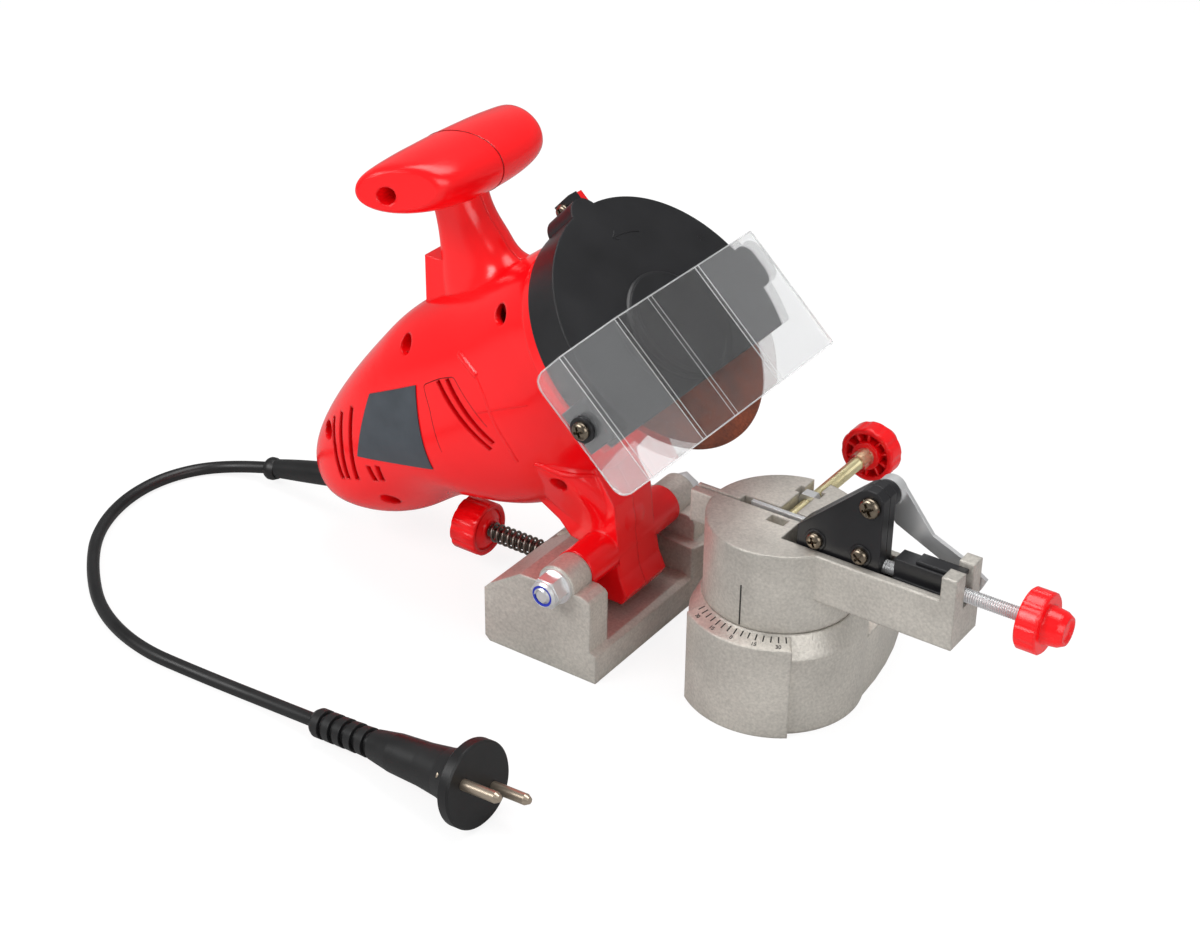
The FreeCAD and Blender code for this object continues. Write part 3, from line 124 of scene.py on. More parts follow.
def addStage():
    bpy.ops.mesh.primitive_plane_add(size=studio["floorSize"], location=(0, 0, 0))
    floor = bpy.context.object
    floor.name = "floor"
    paint = bpy.data.materials.new("paleFloor")
    paint.use_nodes = True
    tree = paint.node_tree
    tree.nodes.clear()
    diffuse = tree.nodes.new("ShaderNodeBsdfDiffuse")
    diffuse.inputs["Color"].default_value = (studio["floorColor"],) * 3 + (1,)
    glow = tree.nodes.new("ShaderNodeEmission")
    mix = tree.nodes.new("ShaderNodeMixShader")
    out = tree.nodes.new("ShaderNodeOutputMaterial")
    dimmer = tree.nodes.new("ShaderNodeMapRange")
    dimmer.inputs["To Min"].default_value = studio["floorDim"]
    dimmer.inputs["To Max"].default_value = studio["floorBright"]
    tree.links.new(lightPathShare(tree, 1.0, 0.0), dimmer.inputs["Value"])
    tree.links.new(dimmer.outputs[0], glow.inputs["Strength"])
    tree.links.new(lightPathShare(tree, studio["floorGlow"], studio["floorGloss"]), mix.inputs[0])
    tree.links.new(diffuse.outputs[0], mix.inputs[1])
    tree.links.new(glow.outputs[0], mix.inputs[2])
    tree.links.new(mix.outputs[0], out.inputs["Surface"])
    floor.data.materials.append(paint)
    world = bpy.data.worlds.new("softWorld")
    world.use_nodes = True
    bpy.context.scene.world = world
    sky = world.node_tree
    background = sky.nodes["Background"]
    background.inputs["Color"].default_value = (1, 1, 1, 1)
    lift = sky.nodes.new("ShaderNodeMapRange")
    lift.clamp = False
    sky.links.new(lightPathShare(sky, 1.0, studio["glossShare"]), lift.inputs["Value"])
    lift.inputs["To Min"].default_value = studio["worldStrength"]
    lift.inputs["To Max"].default_value = 1.0
    sky.links.new(lift.outputs[0], background.inputs["Strength"])


def addLamp(name, place, width, power):
    data = bpy.data.lights.new(name, "AREA")
    data.shape = "RECTANGLE"
    data.size = width
    data.size_y = width * studio["lampShape"]
    data.energy = power
    lamp = bpy.data.objects.new(name, data)
    bpy.context.scene.collection.objects.link(lamp)
    lamp.location = place
    lamp.rotation_euler = (Vector(studio["lampTarget"]) - Vector(place)).to_track_quat("-Z", "Y").to_euler()


addStage()
for name, lamp in lamps.items():
    addLamp(name, **lamp)
bpy.context.scene.view_settings.view_transform = "Standard"
print("stage lit")

# Finishes. Each has cloudy colour and roughness and a fine bump. Scales are in 1/metres. The edge is
# the radius by which edges are softened in shading.
finishes = {
    "cast_alloy": {"color": (0.58, 0.55, 0.50), "metallic": 0.6, "roughness": 0.45, "cloud": 0.13,
                   "cloudScale": 30, "grain": 900, "grainDepth": 0.00014, "roughSpread": 0.10,
                   "edge": 0.0015, "speckle": 0.13, "speckleScale": 800},
    "red_plastic": {"color": (0.84, 0.003, 0.006), "metallic": 0.0, "roughness": 0.17, "cloud": 0.05,
                    "cloudScale": 20, "grain": 260, "grainDepth": 0.00001, "roughSpread": 0.05,
                    "edge": 0.0016},
    "black_plastic": {"color": (0.009, 0.009, 0.0105), "metallic": 0.0, "roughness": 0.34, "cloud": 0.2,
                      "cloudScale": 40, "grain": 2200, "grainDepth": 0.00002, "roughSpread": 0.08,
                      "edge": 0.0009},
    "bright_steel": {"color": (0.80, 0.805, 0.81), "metallic": 0.75, "roughness": 0.34, "cloud": 0.03,
                     "cloudScale": 60, "grain": 1800, "grainDepth": 0.000002, "roughSpread": 0.03,
                     "edge": 0.0003},
    "bronze_steel": {"color": (0.23, 0.19, 0.145), "metallic": 1.0, "roughness": 0.27, "cloud": 0.25,
                     "cloudScale": 300, "grain": 2500, "grainDepth": 0.00002, "roughSpread": 0.10,
                     "edge": 0.0002},
    "yellow_zinc": {"color": (0.74, 0.67, 0.42), "metallic": 0.8, "roughness": 0.3, "cloud": 0.07,
                    "cloudScale": 200, "grain": 1500, "grainDepth": 0.00001, "roughSpread": 0.05,
                    "edge": 0.0002},
    "spring_steel": {"color": (0.24, 0.215, 0.19), "metallic": 1.0, "roughness": 0.36, "cloud": 0.25,
                     "cloudScale": 260, "grain": 2500, "grainDepth": 0.00003, "roughSpread": 0.12,
                     "edge": 0.0002},
    "blue_nylon": {"color": (0.012, 0.03, 0.42), "metallic": 0.0, "roughness": 0.35, "cloud": 0.15,
                   "cloudScale": 300, "grain": 2500, "grainDepth": 0.00002, "roughSpread": 0.06,
                   "edge": 0.0001},
    "abrasive": {"color": (0.145, 0.031, 0.011), "metallic": 0.0, "roughness": 0.82, "cloud": 0.45,
                 "cloudScale": 90, "grain": 2600, "grainDepth": 0.0003, "roughSpread": 0.10,
                 "edge": 0.0003, "speckle": 0.35, "speckleScale": 900},
    "rubber_black": {"color": (0.006, 0.006, 0.0065), "metallic": 0.0, "roughness": 0.42, "cloud": 0.25,
                     "cloudScale": 60, "grain": 1800, "grainDepth": 0.00003, "roughSpread": 0.10,
                     "edge": 0.0004},
    "laminated_steel": {"color": (0.30, 0.30, 0.31), "metallic": 1.0, "roughness": 0.40, "cloud": 0.2,
                        "cloudScale": 200, "grain": 1500, "grainDepth": 0.00003, "roughSpread": 0.12,
                        "edge": 0.0002},
    "copper": {"color": (0.60, 0.28, 0.15), "metallic": 1.0, "roughness": 0.32, "cloud": 0.2,
               "cloudScale": 200, "grain": 1500, "grainDepth": 0.00002, "roughSpread": 0.12,
               "edge": 0.0002},
    "carbon": {"color": (0.04, 0.04, 0.042), "metallic": 0.0, "roughness": 0.6, "cloud": 0.3,
               "cloudScale": 300, "grain": 2600, "grainDepth": 0.00004, "roughSpread": 0.10,
               "edge": 0.0002},
    "grey_badge": {"color": (0.045, 0.054, 0.065), "metallic": 0.0, "roughness": 0.34, "cloud": 0.16,
                   "cloudScale": 90, "grain": 2400, "grainDepth": 0.00002, "roughSpread": 0.06,
                   "edge": 0.0002},
}
variants = {
    # near-black: the dial's marks, and painted shade in the drum's pointer groove
    "dark_engraving": ("spring_steel", {"color": (0.03, 0.028, 0.026), "metallic": 0.2, "roughness": 0.6}),
    # red plastic darkened: painted shade in the panel's grooves and in the handle's seam
    "dark_red": ("red_plastic", {"color": (0.22, 0.004, 0.004)}),
    "nickel": ("bright_steel", {"color": (0.50, 0.42, 0.33), "metallic": 0.9}),
    "clear_glint": ("bright_steel", {"color": (0.86, 0.87, 0.87), "metallic": 0.0, "roughness": 0.15,
                                     "alpha": 0.34}),
}
clears = {
    "frosted_edge": {"color": (0.97, 0.98, 0.97), "alpha": 0.92, "roughness": 0.5, "transmission": 1.0},
    "clear_plastic": {"color": (0.95, 0.965, 0.97), "alpha": 0.45, "roughness": 0.02, "transmission": 1.0},
    # a whitish veil for the shield's outer panels: painted reflection
    "clear_sheen": {"color": (0.95, 0.965, 0.98), "alpha": 0.45, "roughness": 0.05, "transmission": 0.88},
}
noiseDetail = {"cloud": 5, "grain": 3, "speckle": 6, "haze": 4}
roughRange = (0.28, 0.72)
tintRange = (0.3, 0.7)
edgeSamples = 4
clearLook = {"hazeScale": 60, "roughSpread": 0.05, "dim": 0.96, "refraction": 1.49}


def noiseNode(tree, coordinates, scale, detail):
    noise = tree.nodes.new("ShaderNodeTexNoise")
    noise.inputs["Scale"].default_value = scale
    noise.inputs["Detail"].default_value = detail
    tree.links.new(coordinates, noise.inputs["Vector"])
    return noise.outputs["Fac"]


def spread(tree, value, low, high):
    ranged = tree.nodes.new("ShaderNodeMapRange")
    ranged.inputs["From Min"].default_value = roughRange[0]
    ranged.inputs["From Max"].default_value = roughRange[1]
    ranged.inputs["To Min"].default_value = low
    ranged.inputs["To Max"].default_value = high
    tree.links.new(value, ranged.inputs["Value"])
    return ranged.outputs[0]


def tint(tree, value, low, high):
    ramp = tree.nodes.new("ShaderNodeValToRGB")
    for element, position, color in zip(ramp.color_ramp.elements, tintRange, (low, high)):
        element.position = position
        element.color = tuple(color) + (1,)
    tree.links.new(value, ramp.inputs[0])
    return ramp.outputs[0]


def makeFinish(name, finish):
    paint = bpy.data.materials.new(name)
    paint.use_nodes = True
    tree = paint.node_tree
    shader = tree.nodes["Principled BSDF"]
    coordinates = tree.nodes.new("ShaderNodeTexCoord").outputs["Object"]
    cloud = noiseNode(tree, coordinates, finish["cloudScale"], noiseDetail["cloud"])
    fine = noiseNode(tree, coordinates, finish["grain"], noiseDetail["grain"])
    base = Vector(finish["color"])
    change = finish["cloud"]
    clouded = tint(tree, cloud, base * (1 - change), base * (1 + change))
    if "speckle" in finish:
        grey = finish["speckle"]
        fleck = noiseNode(tree, coordinates, finish["speckleScale"], noiseDetail["speckle"])
        # A mix node's colours are its inputs 6 and 7 and its output 2
        mix = tree.nodes.new("ShaderNodeMix")
        mix.data_type = "RGBA"
        mix.blend_type = "MULTIPLY"
        mix.inputs[0].default_value = 1.0
        tree.links.new(clouded, mix.inputs[6])
        tree.links.new(tint(tree, fleck, (1 - grey,) * 3, (1 + grey,) * 3), mix.inputs[7])
        clouded = mix.outputs[2]
    tree.links.new(clouded, shader.inputs["Base Color"])
    rough = finish["roughness"]
    half = finish["roughSpread"]
    tree.links.new(spread(tree, cloud, rough - half, rough + half), shader.inputs["Roughness"])
    shader.inputs["Metallic"].default_value = finish["metallic"]
    shader.inputs["Alpha"].default_value = finish.get("alpha", 1.0)
    soften = tree.nodes.new("ShaderNodeBevel")
    soften.samples = edgeSamples
    soften.inputs["Radius"].default_value = finish["edge"]
    bump = tree.nodes.new("ShaderNodeBump")
    bump.inputs["Strength"].default_value = 1.0
    bump.inputs["Distance"].default_value = finish["grainDepth"]
    tree.links.new(fine, bump.inputs["Height"])
    tree.links.new(soften.outputs[0], bump.inputs["Normal"])
    tree.links.new(bump.outputs[0], shader.inputs["Normal"])
    return paint


def makeClear(name, finish):
    paint = bpy.data.materials.new(name)
    paint.use_nodes = True
    tree = paint.node_tree
    shader = tree.nodes["Principled BSDF"]
    coordinates = tree.nodes.new("ShaderNodeTexCoord").outputs["Object"]
    haze = noiseNode(tree, coordinates, clearLook["hazeScale"], noiseDetail["haze"])
    rough = spread(tree, haze, finish["roughness"], finish["roughness"] + clearLook["roughSpread"])
    tree.links.new(rough, shader.inputs["Roughness"])
    color = tint(tree, haze, Vector(finish["color"]) * clearLook["dim"], finish["color"])
    tree.links.new(color, shader.inputs["Base Color"])
    shader.inputs["Transmission Weight"].default_value = finish["transmission"]
    shader.inputs["IOR"].default_value = clearLook["refraction"]
    shader.inputs["Alpha"].default_value = finish["alpha"]
    return paint


paints = {name: makeFinish(name, finish) for name, finish in finishes.items()}
for name, (like, change) in variants.items():
    paints[name] = makeFinish(name, finishes[like] | change)
for name, finish in clears.items():
    paints[name] = makeClear(name, finish)
slotOf = {part["node"]: part["material_slot"] for part in frame["record"]["subparts"]}
for name, thing in nodes.items():
    thing.data.materials.clear()
    thing.data.materials.append(paints["nickel" if name == "plug_pins" else slotOf[name]])
print("finishes on", len(nodes), "nodes")


# Modelling helpers. Everything is modelled at the origin along +Z and then laid in its place.
def deselect():
    if bpy.context.object and bpy.context.object.mode != "OBJECT":
        bpy.ops.object.mode_set(mode="OBJECT")
    bpy.ops.object.select_all(action="DESELECT")


def makeActive(piece):
    deselect()
    piece.select_set(True)
    bpy.context.view_layer.objects.active = piece


def applyPlace(piece):
    makeActive(piece)
    bpy.ops.object.transform_apply(location=True, rotation=True, scale=True)


def joinPieces(pieces):
    makeActive(pieces[0])
    for other in pieces[1:]:
        other.select_set(True)
    bpy.ops.object.join()
    return bpy.context.object


def copyPiece(piece):
    twin = piece.copy()
    twin.data = piece.data.copy()
    bpy.context.scene.collection.objects.link(twin)
    return twin


def layAlong(piece, place, axis, twist=0.0):
    turn = Vector(axis).to_track_quat("Z", "Y").to_matrix().to_4x4() @ Matrix.Rotation(twist, 4, "Z")
    piece.matrix_world = Matrix.Translation(place) @ turn


def finishPiece(piece, name, slot, body, replaced=(), angle=38, paint=None):
    applyPlace(piece)
    bpy.ops.object.shade_smooth_by_angle(angle=math.radians(angle))
    piece.name = name
    piece.data.name = name
    if not piece.data.materials:
        piece.data.materials.append(paints[paint or slot])
    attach(piece, body)
    if replaced:
        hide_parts(*replaced)


# A turned piece: a circle extruded and resized ring by ring. A closed one starts from a filled disc.
def turnedPiece(profile, sides=48, closed=True):
    deselect()
    bpy.ops.mesh.primitive_circle_add(vertices=sides, radius=profile[0][0],
                                      fill_type="NGON" if closed else "NOTHING",
                                      location=(0, 0, profile[0][1]))
    piece = bpy.context.object
    bpy.ops.object.mode_set(mode="EDIT")
    bpy.ops.mesh.select_all(action="SELECT")
    radius, height = profile[0]
    for nextRadius, nextHeight in profile[1:]:
        bpy.ops.mesh.extrude_region_move(TRANSFORM_OT_translate={"value": (0, 0, nextHeight - height)})
        factor = nextRadius / radius
        bpy.ops.transform.resize(value=(factor, factor, 1), center_override=(0, 0, nextHeight))
        radius, height = nextRadius, nextHeight
    bpy.ops.mesh.select_all(action="SELECT")
    bpy.ops.mesh.normals_make_consistent(inside=False)
    bpy.ops.object.mode_set(mode="OBJECT")
    bpy.ops.object.transform_apply(location=True, rotation=True, scale=True)
    return piece


# A bar: a cube sized and with its edges bevelled.
def barPiece(size, bevel):
    deselect()
    bpy.ops.mesh.primitive_cube_add(size=1, location=(0, 0, 0))
    piece = bpy.context.object
    bpy.ops.object.mode_set(mode="EDIT")
    bpy.ops.mesh.select_all(action="SELECT")
    bpy.ops.transform.resize(value=size)
    bpy.ops.mesh.bevel(offset=bevel, segments=1, affect="EDGES")
    bpy.ops.object.mode_set(mode="OBJECT")
    return piece


def asMesh(curve):
    piece = bpy.data.objects.new("tube", curve)
    bpy.context.scene.collection.objects.link(piece)
    makeActive(piece)
    bpy.ops.object.convert(target="MESH")
    return bpy.context.object


# A thin round tube that runs straight from place to place of a route in the head's own frame.
def headTube(route, radius, cyclic=False):
    curve = bpy.data.curves.new("tube", "CURVE")
    curve.dimensions = "3D"
    curve.bevel_depth = radius
    curve.bevel_resolution = 2
    curve.use_fill_caps = not cyclic
    line = curve.splines.new("POLY")
    line.points.add(len(route) - 1)
    for point, place in zip(line.points, route):
        point.co = (*(headPlace @ Vector(place)), 1)
    line.use_cyclic_u = cyclic
    return asMesh(curve)


def cutAway(piece, cutter):
    makeActive(piece)
    carve = piece.modifiers.new("carve", "BOOLEAN")
    carve.operation = "DIFFERENCE"
    carve.solver = "EXACT"
    carve.object = cutter
    bpy.ops.object.modifier_apply(modifier=carve.name)
    bpy.data.objects.remove(cutter)


# A pan-head screw with a cross recess; its head stands on z = 0. The head's outline and the recess
# are shares of the head's radius and height.
panHead = ((0.97, 0), (1, 0.2), (0.97, 0.5), (0.84, 0.8), (0.62, 0.96), (0.4, 1))
crossRecess = {"length": 1.25, "width": 0.3, "depth": 1.3, "bevel": 0.03}


def crossScrew(headRadius, headHeight, shankRadius, shankLength):
    profile = [(shankRadius, -shankLength), (shankRadius, 0)]
    profile += [(headRadius * wide, headHeight * tall) for wide, tall in panHead]
    screw = turnedPiece(profile, sides=40)
    for turn in (0, math.pi / 2):
        slot = barPiece((headRadius * crossRecess["length"], headRadius * crossRecess["width"],
                         headHeight * crossRecess["depth"]), headRadius * crossRecess["bevel"])
        slot.matrix_world = Matrix.Translation((0, 0, headHeight)) @ Matrix.Rotation(turn, 4, "Z")
        applyPlace(slot)
        cutAway(screw, slot)
    return screw


def washerPiece(inner, outer, thickness, edge=0.0002):
    return turnedPiece([(inner, 0), (outer - edge, 0), (outer, edge), (outer, thickness - edge),
                        (outer - edge, thickness), (inner, thickness)], sides=40, closed=False)


# A real thread: one V-shaped tooth run along a helix by the Screw modifier, round a plain core.
thread = {"steps": 20, "sides": 32, "coreShare": 1.01, "endShare": 0.8}


def threadedRod(length, radius, pitch, plainStart, plainEnd):
    root = radius - pitch / 2
    deselect()
    bpy.ops.mesh.primitive_plane_add(size=pitch / math.sqrt(2), location=(root, 0, plainStart),
                                     rotation=(math.pi / 2, math.pi / 4, 0))
    tooth = bpy.context.object
    bpy.ops.object.transform_apply(location=True, rotation=True, scale=True)
    inner = min(tooth.data.vertices, key=lambda vertex: vertex.co.x).index
    bpy.ops.object.mode_set(mode="EDIT")
    bpy.ops.mesh.select_mode(type="VERT")
    bpy.ops.mesh.select_all(action="DESELECT")
    bpy.ops.object.mode_set(mode="OBJECT")
    tooth.data.vertices[inner].select = True
    bpy.ops.object.mode_set(mode="EDIT")
    bpy.ops.mesh.delete(type="VERT")
    bpy.ops.object.mode_set(mode="OBJECT")
    helix = tooth.modifiers.new("helix", "SCREW")
    helix.axis = "Z"
    helix.angle = 2 * math.pi
    helix.screw_offset = pitch
    helix.iterations = int((length - plainStart - plainEnd) / pitch)
    helix.steps = thread["steps"]
    helix.render_steps = thread["steps"]
    helix.use_merge_vertices = True
    helix.merge_threshold = pitch / 50
    bpy.ops.object.modifier_apply(modifier=helix.name)
    core = root * thread["coreShare"]
    end = root * thread["endShare"]
    sides = thread["sides"]
    plain = turnedPiece([(end, 0), (core, pitch / 2), (core, length - pitch / 2), (end, length)], sides)
    parts = [tooth, plain]
    if plainStart > pitch:
        parts.append(turnedPiece([(radius - pitch / 4, 0), (radius, pitch / 4), (radius, plainStart)], sides))
    if plainEnd > pitch:
        tail = turnedPiece([(radius, 0), (radius, plainEnd - pitch / 2), (root, plainEnd)], sides)
        tail.matrix_world = Matrix.Translation((0, 0, length - plainEnd))
        parts.append(tail)
    return joinPieces(parts)


# Screws with cross recesses on the stop bracket, the guard and the shield. Heads and shanks are radius
# and length in metres; the guard's and shield's places lie in the head's own frame, in millimetres.
screws = {
    "bracket": {"head": (0.0037, 0.0025), "shank": (0.0018, 0.0098), "face": -0.0151,
                "spots": ((0.1057, 0.0884), (0.1265, 0.0886)), "twist": 0.35, "twistStep": 0.6},
    "bracketWasher": {"size": (0.0018, 0.0049, 0.0004), "face": -0.0147},
    "pivot": {"head": (0.0046, 0.0028), "shank": (0.0024, 0.0208), "place": (0.1293, -0.0148, 0.112),
              "twist": 0.5},
    "guard": {"head": (0.0036, 0.0026), "radius": 0.0016, "twist": 0.8,
              "spots": (((-12.2, 10.1, 67.4), nearWards, 0.012), ((-12.2, 74, 0), farWards, 0.018))},
    "shield": {"head": (0.004, 0.0026), "shank": (0.0016, 0.010), "place": (-3.5, -68.82, -13),
               "twist": 0.4},
}


def addScrews():
    bracket, washer, pivot = screws["bracket"], screws["bracketWasher"], screws["pivot"]
    guard, shield = screws["guard"], screws["shield"]
    pair, rings, guardPair = [], [], []
    for index, (along, up) in enumerate(bracket["spots"]):
        screw = crossScrew(*bracket["head"], *bracket["shank"])
        twist = bracket["twist"] + index * bracket["twistStep"]
        layAlong(screw, (along, bracket["face"], up), nearWards, twist)
        pair.append(screw)
        ring = washerPiece(*washer["size"])
        layAlong(ring, (along, washer["face"], up), nearWards)
        rings.append(ring)
    finishPiece(joinPieces(pair), "bracketScrews", "bronze_steel", "stop_carriage", ("bracket_screws",))
    finishPiece(joinPieces(rings), "bracketWashers", "black_plastic", "stop_carriage")
    screw = crossScrew(*pivot["head"], *pivot["shank"])
    layAlong(screw, pivot["place"], nearWards, pivot["twist"])
    finishPiece(screw, "pivotScrew", "bronze_steel", "stop_carriage", ("pivot_screw",))
    for place, axis, length in guard["spots"]:
        screw = crossScrew(*guard["head"], guard["radius"], length)
        layAlong(screw, headPoint(*place), axis, guard["twist"])
        guardPair.append(screw)
    finishPiece(joinPieces(guardPair), "guardScrews", "bronze_steel", "head", ("guard_screws",))
    screw = crossScrew(*shield["head"], *shield["shank"])
    layAlong(screw, headPoint(*shield["place"]), nearWards, shield["twist"])
    finishPiece(screw, "shieldScrew", "bronze_steel", "head", ("shield_screw",))


addScrews()
print("screws done")

# Threaded rods: adjusting screw, clamp screw, depth screw and hinge bolt. A rod's row is its length,
# radius, pitch and the plain lengths at its start and its end.
rods = {"adjust": (0.0754, 0.003, 0.001, 0.003, 0.008), "adjustStart": 0.1298,
        "collar": [(0.0038, 0), (0.0045, 0.0005), (0.0045, 0.0026), (0.0040, 0.003)],
        "clamp": (0.0766, 0.003, 0.001, 0, 0.016), "clampStart": 0.00332,
        "depth": (0.0648, 0.003, 0.001, 0, 0.006), "depthStart": -0.0159,
        "hinge": (0.1125, 0.00396, 0.00125, 0, 0.094), "hingeStart": -0.0589}
hexHead = {"radius": 0.0075, "thickness": 0.0053, "bevel": 0.0005, "start": 0.0496}


def addRods():
    rod = joinPieces([threadedRod(*rods["adjust"]), turnedPiece(rods["collar"], sides=32)])
    layAlong(rod, (rods["adjustStart"], adjustAxis["y"], adjustAxis["z"]), frontWards)
    finishPiece(rod, "adjustRod", "bright_steel", "stop_carriage", ("adjust_screw",))
    rod = threadedRod(*rods["clamp"])
    layAlong(rod, (clampAxis["x"], rods["clampStart"], clampAxis["z"]), farWards)
    finishPiece(rod, "clampRod", "yellow_zinc", "clamp_rod", ("clamp_screw",))
    rod = threadedRod(*rods["depth"])
    layAlong(rod, (rods["depthStart"], 0, depthHeight), backWards)
    finishPiece(rod, "depthRod", "spring_steel", "depth_rod", ("depth_screw",))
    shank = threadedRod(*rods["hinge"])
    layAlong(shank, (0, rods["hingeStart"], hingeHeight), farWards)
    deselect()
    bpy.ops.mesh.primitive_cylinder_add(vertices=6, radius=hexHead["radius"], depth=hexHead["thickness"],
                                        location=(0, 0, hexHead["thickness"] / 2))
    bolt = bpy.context.object
    bpy.ops.object.mode_set(mode="EDIT")
    bpy.ops.mesh.select_all(action="SELECT")
    bpy.ops.mesh.bevel(offset=hexHead["bevel"], segments=2, affect="EDGES")
    bpy.ops.object.mode_set(mode="OBJECT")
    bpy.ops.object.transform_apply(location=True, rotation=True, scale=True)
    layAlong(bolt, (0, hexHead["start"], hingeHeight), farWards)
    finishPiece(joinPieces([shank, bolt]), "hingeBolt", "bright_steel", "base", ("hinge_bolt",))


addRods()
print("rods done")

# Dial: engraved ticks every 5 degrees, the numbers 30 15 0 15 30 and the drum's pointer line. The
# dial's face falls from its inner rim outwards.
dial = {"tick": (0.00058, 0.0031, 0.0003), "tickBevel": 0.00008, "tickRadius": 0.0359, "tickStep": 5,
        "ticksEachSide": 7, "numbers": ((-30, "30"), (-15, "15"), (0, "0"), (15, "15"), (30, "30")),
        "numberSize": 0.0025, "numberRadius": 0.0393, "numberDepth": 0.00012, "numberSwell": 0.00003,
        "rimRadius": 0.033, "rimHeight": 0.047, "slope": math.atan2(3.1, 8.7)}
pointer = {"size": (0.0006, 0.0005, 0.0195), "bevel": 0.0001, "place": (pedestalDistance, -0.0330, 0.0575)}


def dialPlace(angle, radius):
    turn = math.radians(angle - 90)
    outward = Vector((math.cos(turn), math.sin(turn), 0))
    along = Vector((-math.sin(turn), math.cos(turn), 0))
    inward = -outward * math.cos(dial["slope"]) + Vector((0, 0, math.sin(dial["slope"])))
    height = dial["rimHeight"] - (radius - dial["rimRadius"]) * math.tan(dial["slope"])
    place = Vector((pedestalDistance, 0, height)) + outward * radius
    turned = Matrix((along, inward, along.cross(inward))).transposed().to_4x4()
    return Matrix.Translation(place) @ turned


def addDial():
    marks = []
    for step in range(-dial["ticksEachSide"], dial["ticksEachSide"] + 1):
        mark = barPiece(dial["tick"], dial["tickBevel"])
        mark.matrix_world = dialPlace(step * dial["tickStep"], dial["tickRadius"])
        marks.append(mark)
    for angle, word in dial["numbers"]:
        deselect()
        bpy.ops.object.text_add(location=(0, 0, 0))
        number = bpy.context.object
        number.data.body = word
        number.data.size = dial["numberSize"]
        number.data.align_x = "CENTER"
        number.data.align_y = "CENTER"
        number.data.extrude = dial["numberDepth"]
        number.data.offset = dial["numberSwell"]
        bpy.ops.object.convert(target="MESH")
        number = bpy.context.object
        number.matrix_world = dialPlace(angle, dial["numberRadius"])
        marks.append(number)
    finishPiece(joinPieces(marks), "dialMarks", "cast_alloy", "base", paint="dark_engraving")
    # the pointer groove is drawn as a dark bar: painted shade
    line = barPiece(pointer["size"], pointer["bevel"])
    line.matrix_world = Matrix.Translation(pointer["place"])
    finishPiece(line, "pointerLine", "cast_alloy", "vise", paint="dark_engraving")


addDial()
print("dial done")

# Eye shield: the bent sheet with rounded folds and frosted, bright cut edges. The panels before and
# after its middle get a whitish veil: a painted reflection of the lamps.
shieldLook = {"foldRadius": 0.0011, "cornerRadius": 0.006, "low": -0.0446, "high": 0.015,
              "foldLeast": 0.05, "foldsWithin": 0.06, "tabEnd": -0.0095, "cornerLeast": 0.0005,
              "straight": 0.0001, "edgeFacing": 0.9, "endFacing": 0.5, "endArea": 0.00012,
              "tabStart": -0.009, "sheenBefore": -0.0405, "sheenAfter": 0.0215}
shieldGlint = {"width": 0.00036, "tabShare": 0.8, "cornerShare": 0.3, "foldShares": (0.8, 0.7, 0.6, 1.1),
               "foldShare": 0.6, "aside": 0.0013, "outward": 0.0009}
shieldFolds = [(-0.0105, -0.0666), (0.0086, -0.0666), (0.020, -0.040), (0.0198, -0.016), (0.0182, 0.021),
               (0.0188, 0.064)]


def isFold(start, end):
    return abs(end.z - start.z) > shieldLook["foldLeast"] and abs(start.y) < shieldLook["foldsWithin"]


def isTabCorner(start, end):
    run = end - start
    across = abs(run.y) > shieldLook["cornerLeast"] and max(abs(run.x), abs(run.z)) < shieldLook["straight"]
    return start.x < shieldLook["tabEnd"] and across


def bevelEdges(mesh, chosen, radius, segments):
    for edge in mesh.edges:
        start, end = [intoHead @ mesh.vertices[index].co for index in edge.vertices]
        edge.select = chosen(start, end)
    bpy.ops.object.mode_set(mode="EDIT")
    bpy.ops.mesh.bevel(offset=radius, segments=segments, affect="EDGES")
    bpy.ops.mesh.select_all(action="DESELECT")
    bpy.ops.object.mode_set(mode="OBJECT")


def addShield():
    sheet = copyPiece(nodes["shield"])
    makeActive(sheet)
    bpy.ops.object.mode_set(mode="EDIT")
    bpy.ops.mesh.select_all(action="SELECT")
    bpy.ops.mesh.remove_doubles(threshold=mergeDistance)
    bpy.ops.mesh.dissolve_limited(angle_limit=math.radians(1))
    bpy.ops.mesh.select_mode(type="EDGE")
    bpy.ops.mesh.select_all(action="DESELECT")
    bpy.ops.object.mode_set(mode="OBJECT")
    mesh = sheet.data
    bevelEdges(mesh, isFold, shieldLook["foldRadius"], 3)
    bevelEdges(mesh, isTabCorner, shieldLook["cornerRadius"], 6)
    mesh.materials.clear()
    for paint in ("clear_plastic", "frosted_edge", "clear_sheen"):
        mesh.materials.append(paints[paint])
    for face in mesh.polygons:
        facing = intoHead.to_3x3() @ face.normal
        centre = intoHead @ face.center
        topOrBottom = abs(facing.z) > shieldLook["edgeFacing"]
        narrow = abs(facing.y) > shieldLook["endFacing"] and face.area < shieldLook["endArea"]
        atEnd = centre.y > shieldLook["foldsWithin"] or centre.x < shieldLook["tabStart"]
        if topOrBottom or (narrow and atEnd):
            face.material_index = 1
        # the panels before and after the middle carry the painted reflection
        elif centre.y < shieldLook["sheenBefore"] or centre.y > shieldLook["sheenAfter"]:
            face.material_index = 2
        else:
            face.material_index = 0
    finishPiece(sheet, "shieldSheet", "clear_plastic", "head", ("shield",), 25)


